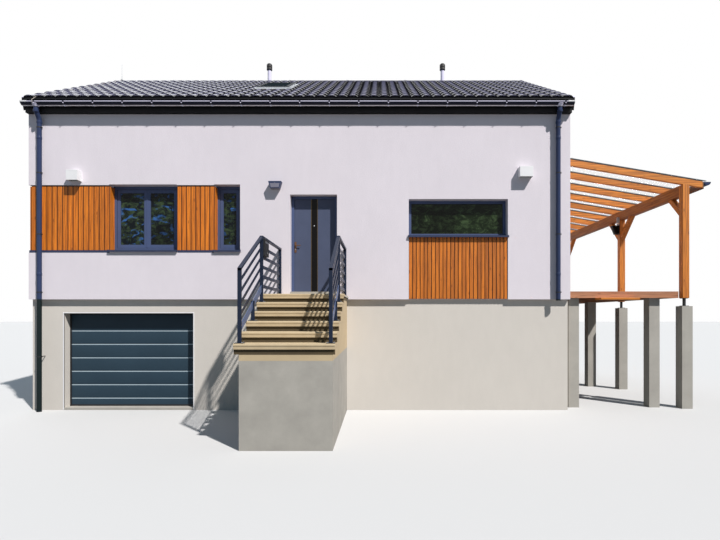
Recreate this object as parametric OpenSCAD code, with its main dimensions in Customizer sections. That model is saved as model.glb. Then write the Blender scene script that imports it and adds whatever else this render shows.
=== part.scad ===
// Detached house on a slope: a garage storey below, one main storey, an attic under a
// plain gable roof, a front stair with steel railings and a timber pergola over a terrace.
// The front faces -Y, the pergola stands on the +X side and the origin is the centre of
// the house body's footprint, on the underside of the garage storey. Sizes are in mm.

/* [House body] */
// Width of the house body across the front
house_w = 12040; // [11000:10:14000]
// Depth of the house body from front to back
house_d = 7280; // [6400:10:9000]
// Thickness of the main storey's walls
wall_t = 420; // [300:10:480]
// Height of the lower edge of the main storey's walls
base_h = 2480; // [2350:10:2700]
// Distance that the garage storey's front and back walls stand back
base_setback = 100; // [20:5:160]
// Distance that the garage storey's side walls stand back
base_side_setback = 20; // [5:5:100]

/* [Floors] */
// Thickness of the garage floor above the ground
garage_floor_t = 50; // [30:5:120]
// Height of the main floor above the lower edge of its walls
floor_rise = 170; // [150:5:250]
// Thickness of the main floor
main_floor_t = 250; // [160:10:300]
// Height of the attic floor above the main floor
storey_h = 2950; // [2850:10:3250]
// Thickness of the attic floor
attic_floor_t = 250; // [160:10:300]

/* [Roof] */
// Slope of the roof in degrees
roof_pitch = 30; // [26:0.5:33]
// Height of the roof above the main floor, at the line of the front wall's face
eaves_h = 4346; // [4200:1:4600]
// Upright thickness of the roof's structure
roof_deck_t = 235; // [160:5:300]
// Upright thickness of the metal roof skin
roof_skin_t = 45; // [20:5:80]
// Distance that the roof skin reaches past the front wall
skin_overhang = 160; // [120:5:240]
// Distance of the fascia's outer face from the wall
fascia_reach = 100; // [60:5:150]
// Thickness of the fascia and soffit boards
eave_board_t = 22; // [12:1:40]
// Height of the fascia
fascia_h = 303; // [260:1:420]
// Width of the verge trims on the gables
verge_t = 40; // [12:1:60]
// Upright depth of the verge trims
verge_depth = 300; // [200:10:400]
// Reach of the ridge cap down each slope
ridge_cap_reach = 130; // [80:5:200]
// Upright thickness of the ridge cap
ridge_cap_t = 40; // [20:5:80]

/* [Rainwater] */
// Outer radius of the half-round gutter
gutter_r = 90; // [50:1:100]
// Thickness of the gutter's metal
gutter_t = 8; // [4:1:12]
// Distance of the gutter's rim below the lower edge of the roof skin
gutter_drop = 75; // [20:5:100]
// Radius of the downpipes
pipe_r = 50; // [35:1:60]
// Distance of the downpipes from the corners of the house
pipe_inset = 300; // [180:10:620]
// Gap between the wall and a downpipe
pipe_gap = 40; // [20:5:80]
// Distance below the main storey's walls at which the downpipes on the higher ground end
pipe_end_drop = 30; // [0:5:150]
// Wall thickness of the downpipes
pipe_wall = 3; // [2:0.5:5]
// Height of the bands that hold the downpipes
pipe_band_h = 40; // [20:5:80]
// Heights of the upper bands above the main floor
pipe_band_rise = [-30, 1250, 2600, 3600];

/* [Roof fittings] */
// Width of the roof window
skylight_w = 786; // [550:2:1140]
// Length of the roof window along the slope
skylight_l = 1180; // [780:10:1400]
// Distance of the roof window's middle from the middle of the house
skylight_x = -897; // [-3000:1:3000]
// Distance of the roof window's lower edge from the ridge line, measured level
skylight_low = 2300; // [1900:10:2900]
// Height of the roof window above the roof skin
skylight_rise = 100; // [60:5:140]
// Width of the roof window's casing
skylight_frame = 70; // [50:5:100]
// Places of the two vent stacks along the ridge
stack_x = [-1554, 3678];
// Distance of the vent stacks behind the ridge
stack_back = 220; // [220:10:600]
// Radius of the vent stacks
stack_r = 55; // [40:1:80]
// Height of the vent stacks' tops above the roof
stack_rise = 640; // [360:10:900]
// Radius of the stacks' caps
stack_cap_r = 83; // [60:1:110]
// Height of the stacks' caps
stack_cap_h = 190; // [80:5:240]
// Distance of the lightning rod from the left end of the ridge
rod_inset = 120; // [50:10:6000]
// Radius of the lightning rod
rod_r = 8; // [5:0.5:15]
// Length of the lightning rod above the ridge cap
rod_len = 490; // [200:10:1200]

/* [Windows] */
// Distance of the window frames behind the front face
window_recess = 190; // [120:5:220]
// Depth of the window frames
window_depth = 80; // [60:2:90]
// Visible width of a window's outer frame
window_frame_w = 70; // [50:1:90]
// Visible width of an opening sash
sash_w = 77; // [50:1:90]
// Distance that a sash stands behind its frame
sash_step = 12; // [5:1:25]
// Thickness of the glass units
glass_t = 30; // [20:1:44]
// Height of the main windows' lower edge above the main floor
window_sill_h = 925; // [750:5:1000]
// Height of the main windows
window_h = 1460; // [1200:5:1500]
// Left edge of the two-sash window
twin_window_x = -4230; // [-4600:10:-4100]
// Width of the two-sash window
twin_window_w = 1500; // [1300:10:1600]
// Width of the timber field between the two front windows
between_w = 830; // [600:10:900]
// Width of the narrow window
narrow_window_w = 580; // [500:10:700]
// Left edge of the kitchen window
kitchen_x = 2430; // [2200:10:2800]
// Width of the kitchen window
kitchen_w = 2204; // [1800:2:2600]
// Height of the kitchen window's lower edge above the main floor
kitchen_sill_h = 1250; // [1050:5:1450]
// Height of the kitchen window
kitchen_h = 810; // [500:5:1000]
// Thickness of the metal window sills
sill_t = 8; // [4:1:15]
// Height of a sill's front lip
sill_lip = 45; // [20:1:70]
// Distance that a sill stands out of the wall
sill_reach = 50; // [20:5:80]
// Overhang of a sill at each end
sill_side = 15; // [5:1:30]
// Middles of the windows in the back wall
back_window_x = [-3800, 0, 3800];

/* [Timber cladding] */
// Distance that the timber band reaches below the main windows
clad_below = 60; // [15:5:150]
// Distance of the timber band's upper edge below the main windows' upper edge
clad_under = 15; // [5:5:100]
// Distance of the timber's face behind the wall's face
clad_recess = 20; // [5:1:40]
// Thickness of the timber boards
clad_t = 25; // [18:1:40]
// Length of the timber band on the left side of the house
clad_return = 1200; // [600:10:2400]

/* [Entry door] */
// Left edge of the entry doorway
door_x = -210; // [-400:5:0]
// Width of the entry doorway
door_w = 1044; // [950:2:1150]
// Height of the entry doorway above the main floor
door_h = 2160; // [2030:5:2250]
// Distance of the door frame behind the front face
door_recess = 165; // [120:5:180]
// Visible width of the door frame beside the leaf
door_frame_w = 40; // [30:1:70]
// Overlap of the door frame's stop in front of the leaf
door_stop_w = 14; // [10:1:25]
// Thickness of the door frame's stop
door_stop_t = 20; // [12:1:30]
// Thickness of the door leaf
leaf_t = 60; // [45:1:70]
// Gap between the leaf and the frame on the handle side
leaf_gap_free = 8; // [7:0.5:12]
// Gap between the leaf and the frame on the other sides
leaf_gap = 5; // [5:0.5:8]
// Middle of the dark strip in the door leaf
strip_x = 306; // [200:1:450]
// Width of the dark strip in the door leaf
strip_w = 150; // [80:2:200]
// Depth of the groove that holds the strip
strip_t = 10; // [6:1:15]
// Radius of the hinge barrels
hinge_r = 9; // [7:0.5:11]
// Radius of the hinge pins
hinge_pin_r = 5; // [4:0.25:6]
// Running clearance round a hinge pin
hinge_fit = 0.3; // [0.1:0.05:0.5]
// Length of each half of a hinge barrel
hinge_half = 60; // [40:1:80]
// Heights of the hinges above the main floor
hinge_h = [250, 1080, 1900];
// Height of the handle above the main floor
handle_h = 1050; // [950:5:1150]
// Distance of the handle from the leaf's free edge
handle_inset = 42; // [36:1:70]

/* [Wall fittings] */
// Middle of the wall lamp
lamp_x = -520; // [-900:10:-350]
// Height of the wall lamp's middle above the entry doorway
lamp_rise = 185; // [-100:5:500]
// Distances of the vent hoods' middles from the left and the right corner of the house
hood_inset = [1060, 1020];
// Heights of the vent hoods' lower edges above the main floor
hood_rise = [2440, 2515];
// Widths of the two vent hoods
hood_w = [250, 290];
// Reach of the vent hoods in front of the wall
hood_reach = 170; // [120:5:220]
// Height of the vent hoods
hood_h = 235; // [180:5:300]

/* [Garage door] */
// Distance of the garage doorway from the left corner of the house
garage_side = 720; // [500:10:1300]
// Width of the garage doorway
garage_w = 2900; // [2400:10:3000]
// Height of the wall above the garage doorway
garage_lintel = 310; // [200:10:450]
// Distance of the garage door behind its wall's face
garage_recess = 230; // [150:5:260]
// Thickness of the garage door
garage_t = 45; // [35:1:55]
// Height of the lowest groove in the garage door
groove_low = 240; // [160:5:330]
// Distance between the grooves in the garage door
groove_pitch = 308; // [200:2:500]
// Width of the grooves in the garage door
groove_w = 12; // [6:1:20]

/* [Stair] */
// Left edge of the treads
stair_x = -500; // [-700:10:-400]
// Width of the treads
stair_w = 1590; // [1400:10:1800]
// Distance of the landing below the main floor
landing_drop = 110; // [60:5:120]
// Depth of the landing in front of the wall
landing_d = 1420; // [1200:10:1600]
// Height of each step
step_rise = 172; // [150:1:185]
// Depth of each step
step_going = 356; // [300:1:400]
// Number of treads below the landing
tread_count = 5; // [4:1:6]
// Thickness of the tread slabs
tread_t = 45; // [35:1:60]
// Distance that a tread reaches past its riser
tread_nosing = 40; // [20:1:60]
// Distance that the treads reach past the core on the left
core_inset_left = 80; // [20:5:150]
// Distance that the treads reach past the core on the right
core_inset_right = 40; // [20:5:150]

/* [Railings] */
// Distance of the railings from the ends of the treads
rail_inset = 75; // [75:1:200]
// Height of the handrail above the landing
rail_h = 1070; // [1040:5:1200]
// Height of the handrail above the lowest tread, at the front post
rail_front_h = 1190; // [1150:5:1300]
// Width of the railing posts across the stair
rail_post_w = 60; // [40:1:70]
// Width of the railing posts along the stair
rail_post_d = 40; // [30:1:60]
// Height of the handrail bar
handrail_t = 40; // [20:1:50]
// Width of the handrail bar
handrail_w = 60; // [40:1:70]
// Height of the flat bars below the handrail
bar_h = 45; // [25:1:60]
// Thickness of the flat bars
bar_t = 10; // [6:1:14]
// Upright distance between the flat bars
bar_pitch = 182; // [150:1:195]
// Number of flat bars below the handrail
bar_count = 4; // [3:1:4]
// Height of the wide plate at the foot of the flight
skirt_h = 130; // [80:5:160]
// Width of the square post plates
plate_w = 140; // [110:2:160]
// Thickness of the post plates
plate_t = 10; // [6:1:15]

/* [Letter box] */
// Width of the letter box along the railing
letter_w = 300; // [240:5:340]
// Height of the letter box
letter_h = 330; // [260:5:360]
// Thickness of the letter box
letter_t = 60; // [40:5:130]

/* [Pergola] */
// Distance of the pergola's front behind the front face
pergola_front = 280; // [250:10:600]
// Distance of the pergola's back end before the back face
pergola_back = 0; // [0:10:1200]
// Reach of the rafters from the side wall
rafter_reach = 3160; // [2950:10:3600]
// Height of the rafters' upper edge at the wall above the main floor
rafter_rise = 3050; // [2850:10:3250]
// Distance that the rafters reach past the beam
rafter_tail = 330; // [180:10:500]
// Slope of the pergola's roof in degrees
pergola_pitch = 9.5; // [6:0.5:12]
// Upright depth of the rafters
rafter_depth = 135; // [120:1:180]
// Thickness of the rafters
rafter_t = 80; // [60:1:100]
// Distance between the rafters, which the last bay makes up
rafter_spacing = 818; // [600:1:1100]
// Thickness of the ledger on the wall
ledger_t = 60; // [40:1:80]
// Width of the beam and the posts
post_w = 150; // [120:1:160]
// Height of the beam
beam_h = 250; // [180:5:260]
// Depth of the notch where a rafter sits on the beam
rafter_notch = 25; // [15:1:40]
// Distance of the middle post behind the first post
middle_post = 2870; // [2400:10:3300]
// Length of each leg of the knee brace at the front post
end_brace = 460; // [400:10:600]
// Length of each leg of the knee braces at the middle and back posts
middle_brace = 580; // [500:10:900]
// Width of the knee braces
brace_w = 110; // [80:2:140]
// Thickness of the knee braces
brace_t = 120; // [60:2:130]
// Height of the seals between the rafters and the sheet
seal_t = 20; // [10:1:30]
// Thickness of the clear roof sheet
sheet_t = 20; // [10:1:32]
// Thickness of the board along the rafters' ends
side_board_t = 30; // [20:1:40]
// Height of the board along the rafters' ends
side_board_h = 160; // [120:5:200]
// Overhang of the roof sheet past that board
sheet_side = 70; // [20:5:80]
// Height of the steel feet under the posts
foot_h = 185; // [100:5:400]
// Radius of the steel feet under the posts
foot_r = 40; // [25:1:60]
// Width of the piers
pier_w = 240; // [180:5:300]
// Radius of the pergola's gutter
side_gutter_r = 80; // [60:1:100]
// Width of the floodlight at the middle post
flood_w = 220; // [160:5:260]
// Height of the floodlight at the middle post
flood_h = 260; // [180:5:300]
// Distance of the floodlight below the beam
flood_drop = 140; // [100:5:300]

/* [Terrace] */
// Height of the terrace above the main floor
deck_rise = 20; // [-60:5:100]
// Gap between the terrace and the pergola's posts
deck_post_gap = 100; // [20:5:400]
// Thickness of the terrace
deck_t = 150; // [120:5:180]
// Width of the terrace's step
deck_step_w = 870; // [600:10:1200]
// Distance of the terrace's step from the side wall
deck_step_x = 700; // [300:10:1200]
// Thickness of the terrace's step
deck_step_t = 45; // [30:1:60]
// Distance that the step board stands before the terrace
deck_step_reach = 250; // [150:10:400]
// Distance that the step board runs under the terrace
deck_step_lap = 60; // [20:5:120]

/* [Hidden] */

$fn = 48;
half_w = house_w / 2;
half_d = house_d / 2;
inner_w = half_w - wall_t;
inner_d = half_d - wall_t;
over = 10;
slope = tan(roof_pitch);
roof_t = roof_deck_t + roof_skin_t;
// Clearance between sloping faces that rest on each other
seat = 0.3;

main_floor_z = base_h + floor_rise;
attic_floor_z = main_floor_z + storey_h;
ridge_h = main_floor_z + eaves_h + slope * half_d;

// Place in depth of something that lies a distance behind the front face
function depth(back) = -half_d + back;

// Height of the roof's skin and of its structure's underside at a place in depth
function skin_top(y) = ridge_h - slope * abs(y);
function deck_under(y) = skin_top(y) - roof_t;

twin_x = twin_window_x;
middle_clad_x = twin_x + twin_window_w;
narrow_x = middle_clad_x + between_w;
door_right = door_x + door_w;
garage_x = -half_w + garage_side;
garage_right = garage_x + garage_w;
garage_high = base_h - garage_lintel;
pocket_d = clad_recess + clad_t;
skin_end = half_d + skin_overhang;
fascia_y = half_d + fascia_reach;
soffit_z = skin_top(fascia_y) - roof_skin_t - fascia_h;
gutter_y = fascia_y + gutter_r;
gutter_rim_z = skin_top(skin_end) - roof_skin_t - gutter_drop;
window_low = main_floor_z + window_sill_h;
window_high = window_low + window_h;
kitchen_low = main_floor_z + kitchen_sill_h;
kitchen_high = kitchen_low + kitchen_h;
clad_low = window_low - clad_below;
clad_high = window_high - clad_under;
door_high = main_floor_z + door_h;
landing_z = main_floor_z - landing_drop;

// A box given by its lowest and highest corners
module block(low, high) {
    translate(low)
        cube(high - low);
}

// An outline in depth and height, drawn out along X between two places
module along_x(from, to) {
    translate([from, 0, 0])
        rotate([90, 0, 90])
            linear_extrude(to - from)
                children();
}

// An outline in X and height, drawn out along Y between two places
module along_y(from, to) {
    translate([0, to, 0])
        rotate([90, 0, 0])
            linear_extrude(to - from)
                children();
}

// Both long sides of the house, front and back
module both_sides() {
    children();
    mirror([0, 1, 0])
        children();
}

// Places for a window on the back wall and on the right gable wall
module on_back(x) {
    rotate([0, 0, 180])
        translate([-x, 0, 0])
            children();
}

module on_right_side(y) {
    translate([half_w - half_d, y, 0])
        rotate([0, 0, 90])
            children();
}

// The hole that a window needs in a wall whose outer face lies at the front
module window_hole(x, w, low, high) {
    block([x, depth(-over), low - sill_t], [x + w, depth(wall_t + over), high]);
}

module garage_floor() {
    color("darkgray")
        union() {
            block([-inner_w, -inner_d, 0], [inner_w, inner_d, garage_floor_t]);
            block([garage_x, depth(base_setback), 0], [garage_right, -inner_d + over, garage_floor_t]);
        }
}

module garage_front_wall() {
    side = half_w - base_side_setback;
    color("silver")
        difference() {
            block([-side, depth(base_setback), 0], [side, -inner_d, base_h]);
            block([garage_x, depth(0), -over], [garage_right, 0, garage_high]);
        }
}

module garage_back_wall() {
    side = half_w - base_side_setback;
    color("silver")
        block([-side, inner_d, 0], [side, half_d - base_setback, base_h]);
}

module garage_side_wall() {
    block([inner_w, -inner_d, 0], [half_w - base_side_setback, inner_d, base_h]);
}

module garage_left_wall() {
    color("silver")
        mirror([1, 0, 0])
            garage_side_wall();
}

module garage_right_wall() {
    color("silver")
        garage_side_wall();
}

module main_floor() {
    color("gray")
        block([-inner_w, -inner_d, main_floor_z - main_floor_t], [inner_w, inner_d, main_floor_z]);
}

module attic_floor() {
    color("gray")
        block([-inner_w, -inner_d, attic_floor_z - attic_floor_t], [inner_w, inner_d, attic_floor_z]);
}

// A long wall between two places along X and from a height up to the roof
module long_wall(from, to, low) {
    along_x(from, to)
        polygon([[depth(0), low], [-inner_d, low],
                 [-inner_d, deck_under(inner_d) - seat], [depth(0), deck_under(half_d) - seat]]);
}

module front_wall_left() {
    color("whitesmoke")
        difference() {
            long_wall(-half_w, door_x, base_h);
            window_hole(twin_x, twin_window_w, window_low, window_high);
            window_hole(narrow_x, narrow_window_w, window_low, window_high);
            block([-half_w - over, depth(-over), clad_low], [twin_x + over, depth(pocket_d), clad_high]);
            block([-half_w - over, depth(0), clad_low],
                  [-half_w + pocket_d, depth(wall_t + over), clad_high]);
            block([middle_clad_x - over, depth(-over), clad_low],
                  [narrow_x + over, depth(pocket_d), clad_high]);
        }
}

module front_wall_over_door() {
    color("whitesmoke")
        long_wall(door_x, door_right, door_high);
}

module front_wall_right() {
    color("whitesmoke")
        difference() {
            long_wall(door_right, half_w, base_h);
            window_hole(kitchen_x, kitchen_w, kitchen_low, kitchen_high);
            block([kitchen_x, depth(-over), base_h - over],
                  [kitchen_x + kitchen_w, depth(pocket_d), kitchen_low - sill_t]);
        }
}

module door_threshold() {
    color("darkgray")
        block([door_x, depth(0), base_h], [door_right, -inner_d, main_floor_z]);
}

module back_wall() {
    color("whitesmoke")
        difference() {
            mirror([0, 1, 0])
                long_wall(-half_w, half_w, base_h);
            for (x = back_window_x)
                on_back(x)
                    window_hole(-twin_window_w / 2, twin_window_w, window_low, window_high);
        }
}

module gable_wall() {
    along_x(inner_w, half_w)
        polygon([[-inner_d, base_h], [inner_d, base_h], [inner_d, deck_under(inner_d) - seat],
                 [0, deck_under(0) - seat], [-inner_d, deck_under(inner_d) - seat]]);
}

module left_gable_wall() {
    color("whitesmoke")
        difference() {
            mirror([1, 0, 0])
                gable_wall();
            block([-half_w - over, depth(0), clad_low],
                  [-half_w + pocket_d, depth(clad_return), clad_high]);
        }
}

module right_gable_wall() {
    color("whitesmoke")
        difference() {
            gable_wall();
            on_right_side(0)
                window_hole(-twin_window_w / 2, twin_window_w, window_low, window_high);
        }
}

// The roof's structure on one slope, from the ridge to the fascia
module roof_deck() {
    end = fascia_y - eave_board_t;
    t = roof_deck_t - seat;
    along_x(-half_w, half_w)
        polygon([[0, deck_under(0)], [0, deck_under(0) + t],
                 [-end, deck_under(end) + t], [-end, deck_under(end)]]);
}

// The space that the roof window takes in the slope, square to the roof
module skylight_block(side, low, high, grow) {
    translate([skylight_x, -skylight_low, skin_top(skylight_low)])
        rotate([roof_pitch, 0, 0])
            translate([-side / 2, -grow, low])
                cube([side, skylight_l + 2 * grow, high - low]);
}

module skylight_hole() {
    skylight_block(skylight_w, -2 * roof_t, roof_t, 0);
}

module roof_deck_front() {
    color("dimgray")
        difference() {
            roof_deck();
            skylight_hole();
        }
}

module roof_deck_back() {
    color("dimgray")
        mirror([0, 1, 0])
            roof_deck();
}

module roof_skin() {
    along_x(-half_w, half_w)
        polygon([[0, skin_top(0) - roof_skin_t], [0, skin_top(0)],
                 [-skin_end, skin_top(skin_end)], [-skin_end, skin_top(skin_end) - roof_skin_t]]);
}

module roof_skin_front() {
    color("darkslategray")
        difference() {
            roof_skin();
            skylight_hole();
        }
}

module roof_skin_back() {
    color("darkslategray")
        mirror([0, 1, 0])
            roof_skin();
}

module ridge_cap() {
    end = ridge_cap_reach;
    color("darkslategray")
        along_x(-half_w, half_w)
            polygon([[0, skin_top(0) + seat], [end, skin_top(end) + seat],
                     [end, skin_top(end) + ridge_cap_t / 2],
                     [0, skin_top(0) + ridge_cap_t],
                     [-end, skin_top(end) + ridge_cap_t / 2],
                     [-end, skin_top(end) + seat]]);
}

// The trim that covers the roof's edge on a gable, one piece for both slopes
module verge_trim() {
    along_x(half_w, half_w + verge_t)
        polygon([[0, skin_top(0)], [skin_end, skin_top(skin_end)],
                 [skin_end, skin_top(skin_end) - roof_skin_t],
                 [fascia_y, skin_top(fascia_y) - verge_depth], [0, skin_top(0) - verge_depth],
                 [-fascia_y, skin_top(fascia_y) - verge_depth],
                 [-skin_end, skin_top(skin_end) - roof_skin_t], [-skin_end, skin_top(skin_end)]]);
}

module verge_trims() {
    color("darkslategray") {
        verge_trim();
        mirror([1, 0, 0])
            verge_trim();
    }
}

// The fascia board and the soffit board at the eaves, in one closed bend
module eave_board() {
    inner = fascia_y - eave_board_t;
    drop = roof_skin_t + seat;
    along_x(-half_w, half_w)
        polygon([[-half_d, soffit_z], [-fascia_y, soffit_z],
                 [-fascia_y, skin_top(fascia_y) - drop],
                 [-inner, skin_top(inner) - drop],
                 [-inner, soffit_z + eave_board_t], [-half_d, soffit_z + eave_board_t]]);
}

module eave_boards() {
    color("black")
        both_sides()
            eave_board();
}

// A half-round gutter with closed ends, hung on the fascia
module gutter() {
    difference() {
        translate([0, -gutter_y, gutter_rim_z])
            rotate([0, 90, 0])
                cylinder(r = gutter_r, h = house_w, center = true);
        translate([0, -gutter_y, gutter_rim_z])
            rotate([0, 90, 0])
                cylinder(r = gutter_r - gutter_t, h = house_w - 2 * gutter_t, center = true);
        block([-house_w, -gutter_y - 2 * gutter_r, gutter_rim_z],
              [house_w, -gutter_y + 2 * gutter_r, gutter_rim_z + 2 * gutter_r]);
    }
}

module gutters() {
    color("darkslategray")
        both_sides()
            gutter();
}

pipe_y = half_d + pipe_gap + pipe_r;

// A downpipe from the gutter to a height, held to the wall by bands
module downpipe(x, low, band_heights) {
    outlet = gutter_rim_z - gutter_r - 2 * pipe_r;
    shoulder = soffit_z - 3 * pipe_r;
    neck_dy = gutter_y - pipe_y;
    neck_dz = outlet - shoulder;
    difference() {
        union() {
            translate([x, -pipe_y, low])
                cylinder(r = pipe_r, h = shoulder - low + pipe_r / 2);
            translate([x, -pipe_y, shoulder])
                rotate([atan2(neck_dy, neck_dz), 0, 0])
                    cylinder(r = pipe_r - pipe_wall, h = norm([neck_dy, neck_dz]));
            translate([x, -gutter_y, outlet - pipe_r / 2])
                cylinder(r = pipe_r, h = 3 * pipe_r);
        }
        translate([x, -gutter_y, gutter_rim_z])
            rotate([0, 90, 0])
                cylinder(r = gutter_r + seat, h = 4 * pipe_r, center = true);
    }
    for (z = band_heights)
        difference() {
            block([x - pipe_r / 3, -pipe_y, z], [x + pipe_r / 3, -half_d, z + pipe_band_h]);
            translate([x, -pipe_y, z - over])
                cylinder(r = pipe_r, h = pipe_band_h + 2 * over);
        }
}

pipe_x = half_w - pipe_inset;
upper_bands = [for (h = pipe_band_rise) main_floor_z + h];

// The four downpipes, two of them ending at the higher ground
module downpipes() {
    color("darkslategray")
        both_sides() {
            downpipe(-pipe_x, 0, upper_bands);
            downpipe(pipe_x, base_h - pipe_end_drop, upper_bands);
        }
}

module roof_window_frame() {
    color("dimgray")
        difference() {
            skylight_block(skylight_w, -roof_t * cos(roof_pitch), skylight_rise, 0);
            skylight_block(skylight_w - 2 * skylight_frame, -roof_t, 2 * skylight_rise, -skylight_frame);
        }
}

module roof_window_glass() {
    glass_top = skylight_rise - sash_step;
    color("lightblue")
        skylight_block(skylight_w - 2 * skylight_frame, glass_top - glass_t, glass_top, -skylight_frame);
}

// A vent stack behind the ridge, cut to the slope at its foot
module vent_stack(x) {
    top = ridge_h + stack_rise;
    foot = skin_top(stack_back) - stack_r;
    difference() {
        translate([x, stack_back, foot])
            union() {
                cylinder(r = stack_r, h = top - foot);
                translate([0, 0, top - foot - stack_cap_h])
                    cylinder(r = stack_cap_r, h = stack_cap_h);
            }
        mirror([0, 1, 0])
            along_x(x - 2 * stack_r, x + 2 * stack_r)
                polygon([[0, skin_top(0) - roof_t], [0, skin_top(0)], [-half_d, skin_top(half_d)],
                         [-half_d, skin_top(half_d) - roof_t]]);
    }
}

module vent_stacks() {
    color("dimgray")
        for (x = stack_x)
            vent_stack(x);
}

module lightning_rod() {
    color("gray")
        translate([-half_w + rod_inset, 0, ridge_h + ridge_cap_t])
            cylinder(r = rod_r, h = rod_len);
}

// A window frame with one or two sashes, in a wall whose outer face lies at the front
module sash_frame(x, w, low, high, sashes) {
    face = depth(window_recess);
    back = face + window_depth;
    inner = w - 2 * window_frame_w;
    pane = inner / sashes;
    difference() {
        block([x, face, low], [x + w, back, high]);
        block([x + window_frame_w, face - over, low + window_frame_w],
              [x + w - window_frame_w, face + sash_step, high - window_frame_w]);
        for (i = [0 : sashes - 1])
            block([x + window_frame_w + i * pane + sash_w, face - over, low + window_frame_w + sash_w],
                  [x + window_frame_w + (i + 1) * pane - sash_w, back + over,
                   high - window_frame_w - sash_w]);
    }
}

module sash_glass(x, w, low, high, sashes) {
    front = depth(window_recess + (window_depth - glass_t) / 2);
    pane = (w - 2 * window_frame_w) / sashes;
    for (i = [0 : sashes - 1])
        block([x + window_frame_w + i * pane + sash_w, front, low + window_frame_w + sash_w],
              [x + window_frame_w + (i + 1) * pane - sash_w, front + glass_t,
               high - window_frame_w - sash_w]);
}

// A fixed window: a plain frame with one pane
module fixed_frame(x, w, low, high) {
    face = depth(window_recess);
    difference() {
        block([x, face, low], [x + w, face + window_depth, high]);
        block([x + window_frame_w, face - over, low + window_frame_w],
              [x + w - window_frame_w, face + window_depth + over, high - window_frame_w]);
    }
}

module fixed_glass(x, w, low, high) {
    front = depth(window_recess + (window_depth - glass_t) / 2);
    block([x + window_frame_w, front, low + window_frame_w],
          [x + w - window_frame_w, front + glass_t, high - window_frame_w]);
}

module twin_on_hidden_sides() {
    for (x = back_window_x)
        on_back(x)
            children();
    on_right_side(0)
        children();
}

module window_frames() {
    color("darkslategray") {
        sash_frame(twin_x, twin_window_w, window_low, window_high, 2);
        sash_frame(narrow_x, narrow_window_w, window_low, window_high, 1);
        fixed_frame(kitchen_x, kitchen_w, kitchen_low, kitchen_high);
        twin_on_hidden_sides()
            sash_frame(-twin_window_w / 2, twin_window_w, window_low, window_high, 2);
    }
}

module window_glass() {
    color("lightblue") {
        sash_glass(twin_x, twin_window_w, window_low, window_high, 2);
        sash_glass(narrow_x, narrow_window_w, window_low, window_high, 1);
        fixed_glass(kitchen_x, kitchen_w, kitchen_low, kitchen_high);
        twin_on_hidden_sides()
            sash_glass(-twin_window_w / 2, twin_window_w, window_low, window_high, 2);
    }
}

// A bent metal sill from the window frame over the wall's face
module sill(x, w, low) {
    union() {
        block([x, depth(-sill_reach), low - sill_t], [x + w, depth(window_recess), low]);
        block([x - sill_side, depth(-sill_reach), low - sill_t], [x + w + sill_side, depth(0), low]);
        block([x - sill_side, depth(-sill_reach), low - sill_lip],
              [x + w + sill_side, depth(-sill_reach + sill_t), low]);
    }
}

module window_sills() {
    color("darkslategray") {
        sill(twin_x, twin_window_w, window_low);
        sill(narrow_x, narrow_window_w, window_low);
        sill(kitchen_x, kitchen_w, kitchen_low);
        twin_on_hidden_sides()
            sill(-twin_window_w / 2, twin_window_w, window_low);
    }
}

// The timber band that turns the left corner of the house
module cladding_left() {
    color("peru")
        union() {
            block([-half_w + clad_recess, depth(clad_recess), clad_low],
                  [twin_x, depth(pocket_d), clad_high]);
            block([-half_w + clad_recess, depth(clad_recess), clad_low],
                  [-half_w + pocket_d, depth(clad_return), clad_high]);
        }
}

module cladding_middle() {
    color("peru")
        block([middle_clad_x, depth(clad_recess), clad_low], [narrow_x, depth(pocket_d), clad_high]);
}

module cladding_kitchen() {
    color("peru")
        block([kitchen_x, depth(clad_recess), base_h],
              [kitchen_x + kitchen_w, depth(pocket_d), kitchen_low - sill_t]);
}

door_face = depth(door_recess);
leaf_face = door_face + door_stop_t + leaf_gap;
leaf_back = leaf_face + leaf_t;
leaf_x = door_x + door_frame_w + leaf_gap_free;
leaf_right = door_right - door_frame_w - leaf_gap;
leaf_low = main_floor_z + leaf_gap;
leaf_high = door_high - door_frame_w - leaf_gap;
hinge_x = leaf_right + leaf_gap / 2;
hinge_y = leaf_back + hinge_r + 2;
hinge_leaf_t = 4;
hinge_leaf_w = 30;

// The lower half of a hinge with its pin, on the frame
module hinge_post(h) {
    z = main_floor_z + h;
    translate([hinge_x, hinge_y, z])
        cylinder(r = hinge_r, h = hinge_half);
    translate([hinge_x, hinge_y, z + hinge_half - over])
        cylinder(r = hinge_pin_r, h = hinge_half);
    block([hinge_x, leaf_back, z], [hinge_x + hinge_leaf_w, leaf_back + hinge_leaf_t, z + hinge_half]);
    block([hinge_x, leaf_back, z], [hinge_x + hinge_leaf_t, hinge_y, z + hinge_half]);
}

// The upper half of a hinge, on the leaf
module hinge_knuckle(h) {
    z = main_floor_z + h + hinge_half + hinge_fit;
    top = z + hinge_half;
    difference() {
        union() {
            translate([hinge_x, hinge_y, z])
                cylinder(r = hinge_r, h = hinge_half);
            block([hinge_x - hinge_leaf_w, leaf_back, z], [hinge_x, leaf_back + hinge_leaf_t, top]);
            block([hinge_x - hinge_leaf_t, leaf_back, z], [hinge_x, hinge_y, top]);
        }
        translate([hinge_x, hinge_y, z - over])
            cylinder(r = hinge_pin_r + hinge_fit, h = hinge_half);
    }
}

// The door frame: two posts and a head, with a stop in front of the leaf
module door_frame() {
    clear = door_frame_w;
    stop = door_frame_w + leaf_gap_free + door_stop_w;
    color("darkslategray")
        union() {
            difference() {
                block([door_x, door_face, main_floor_z], [door_right, leaf_back, door_high]);
                block([door_x + stop, door_face - over, main_floor_z - over],
                      [door_right - stop, leaf_back + over, door_high - stop]);
                block([door_x + clear, door_face + door_stop_t, main_floor_z - over],
                      [door_right - clear, leaf_back + over, door_high - clear]);
            }
            for (h = hinge_h)
                hinge_post(h);
        }
}

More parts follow.
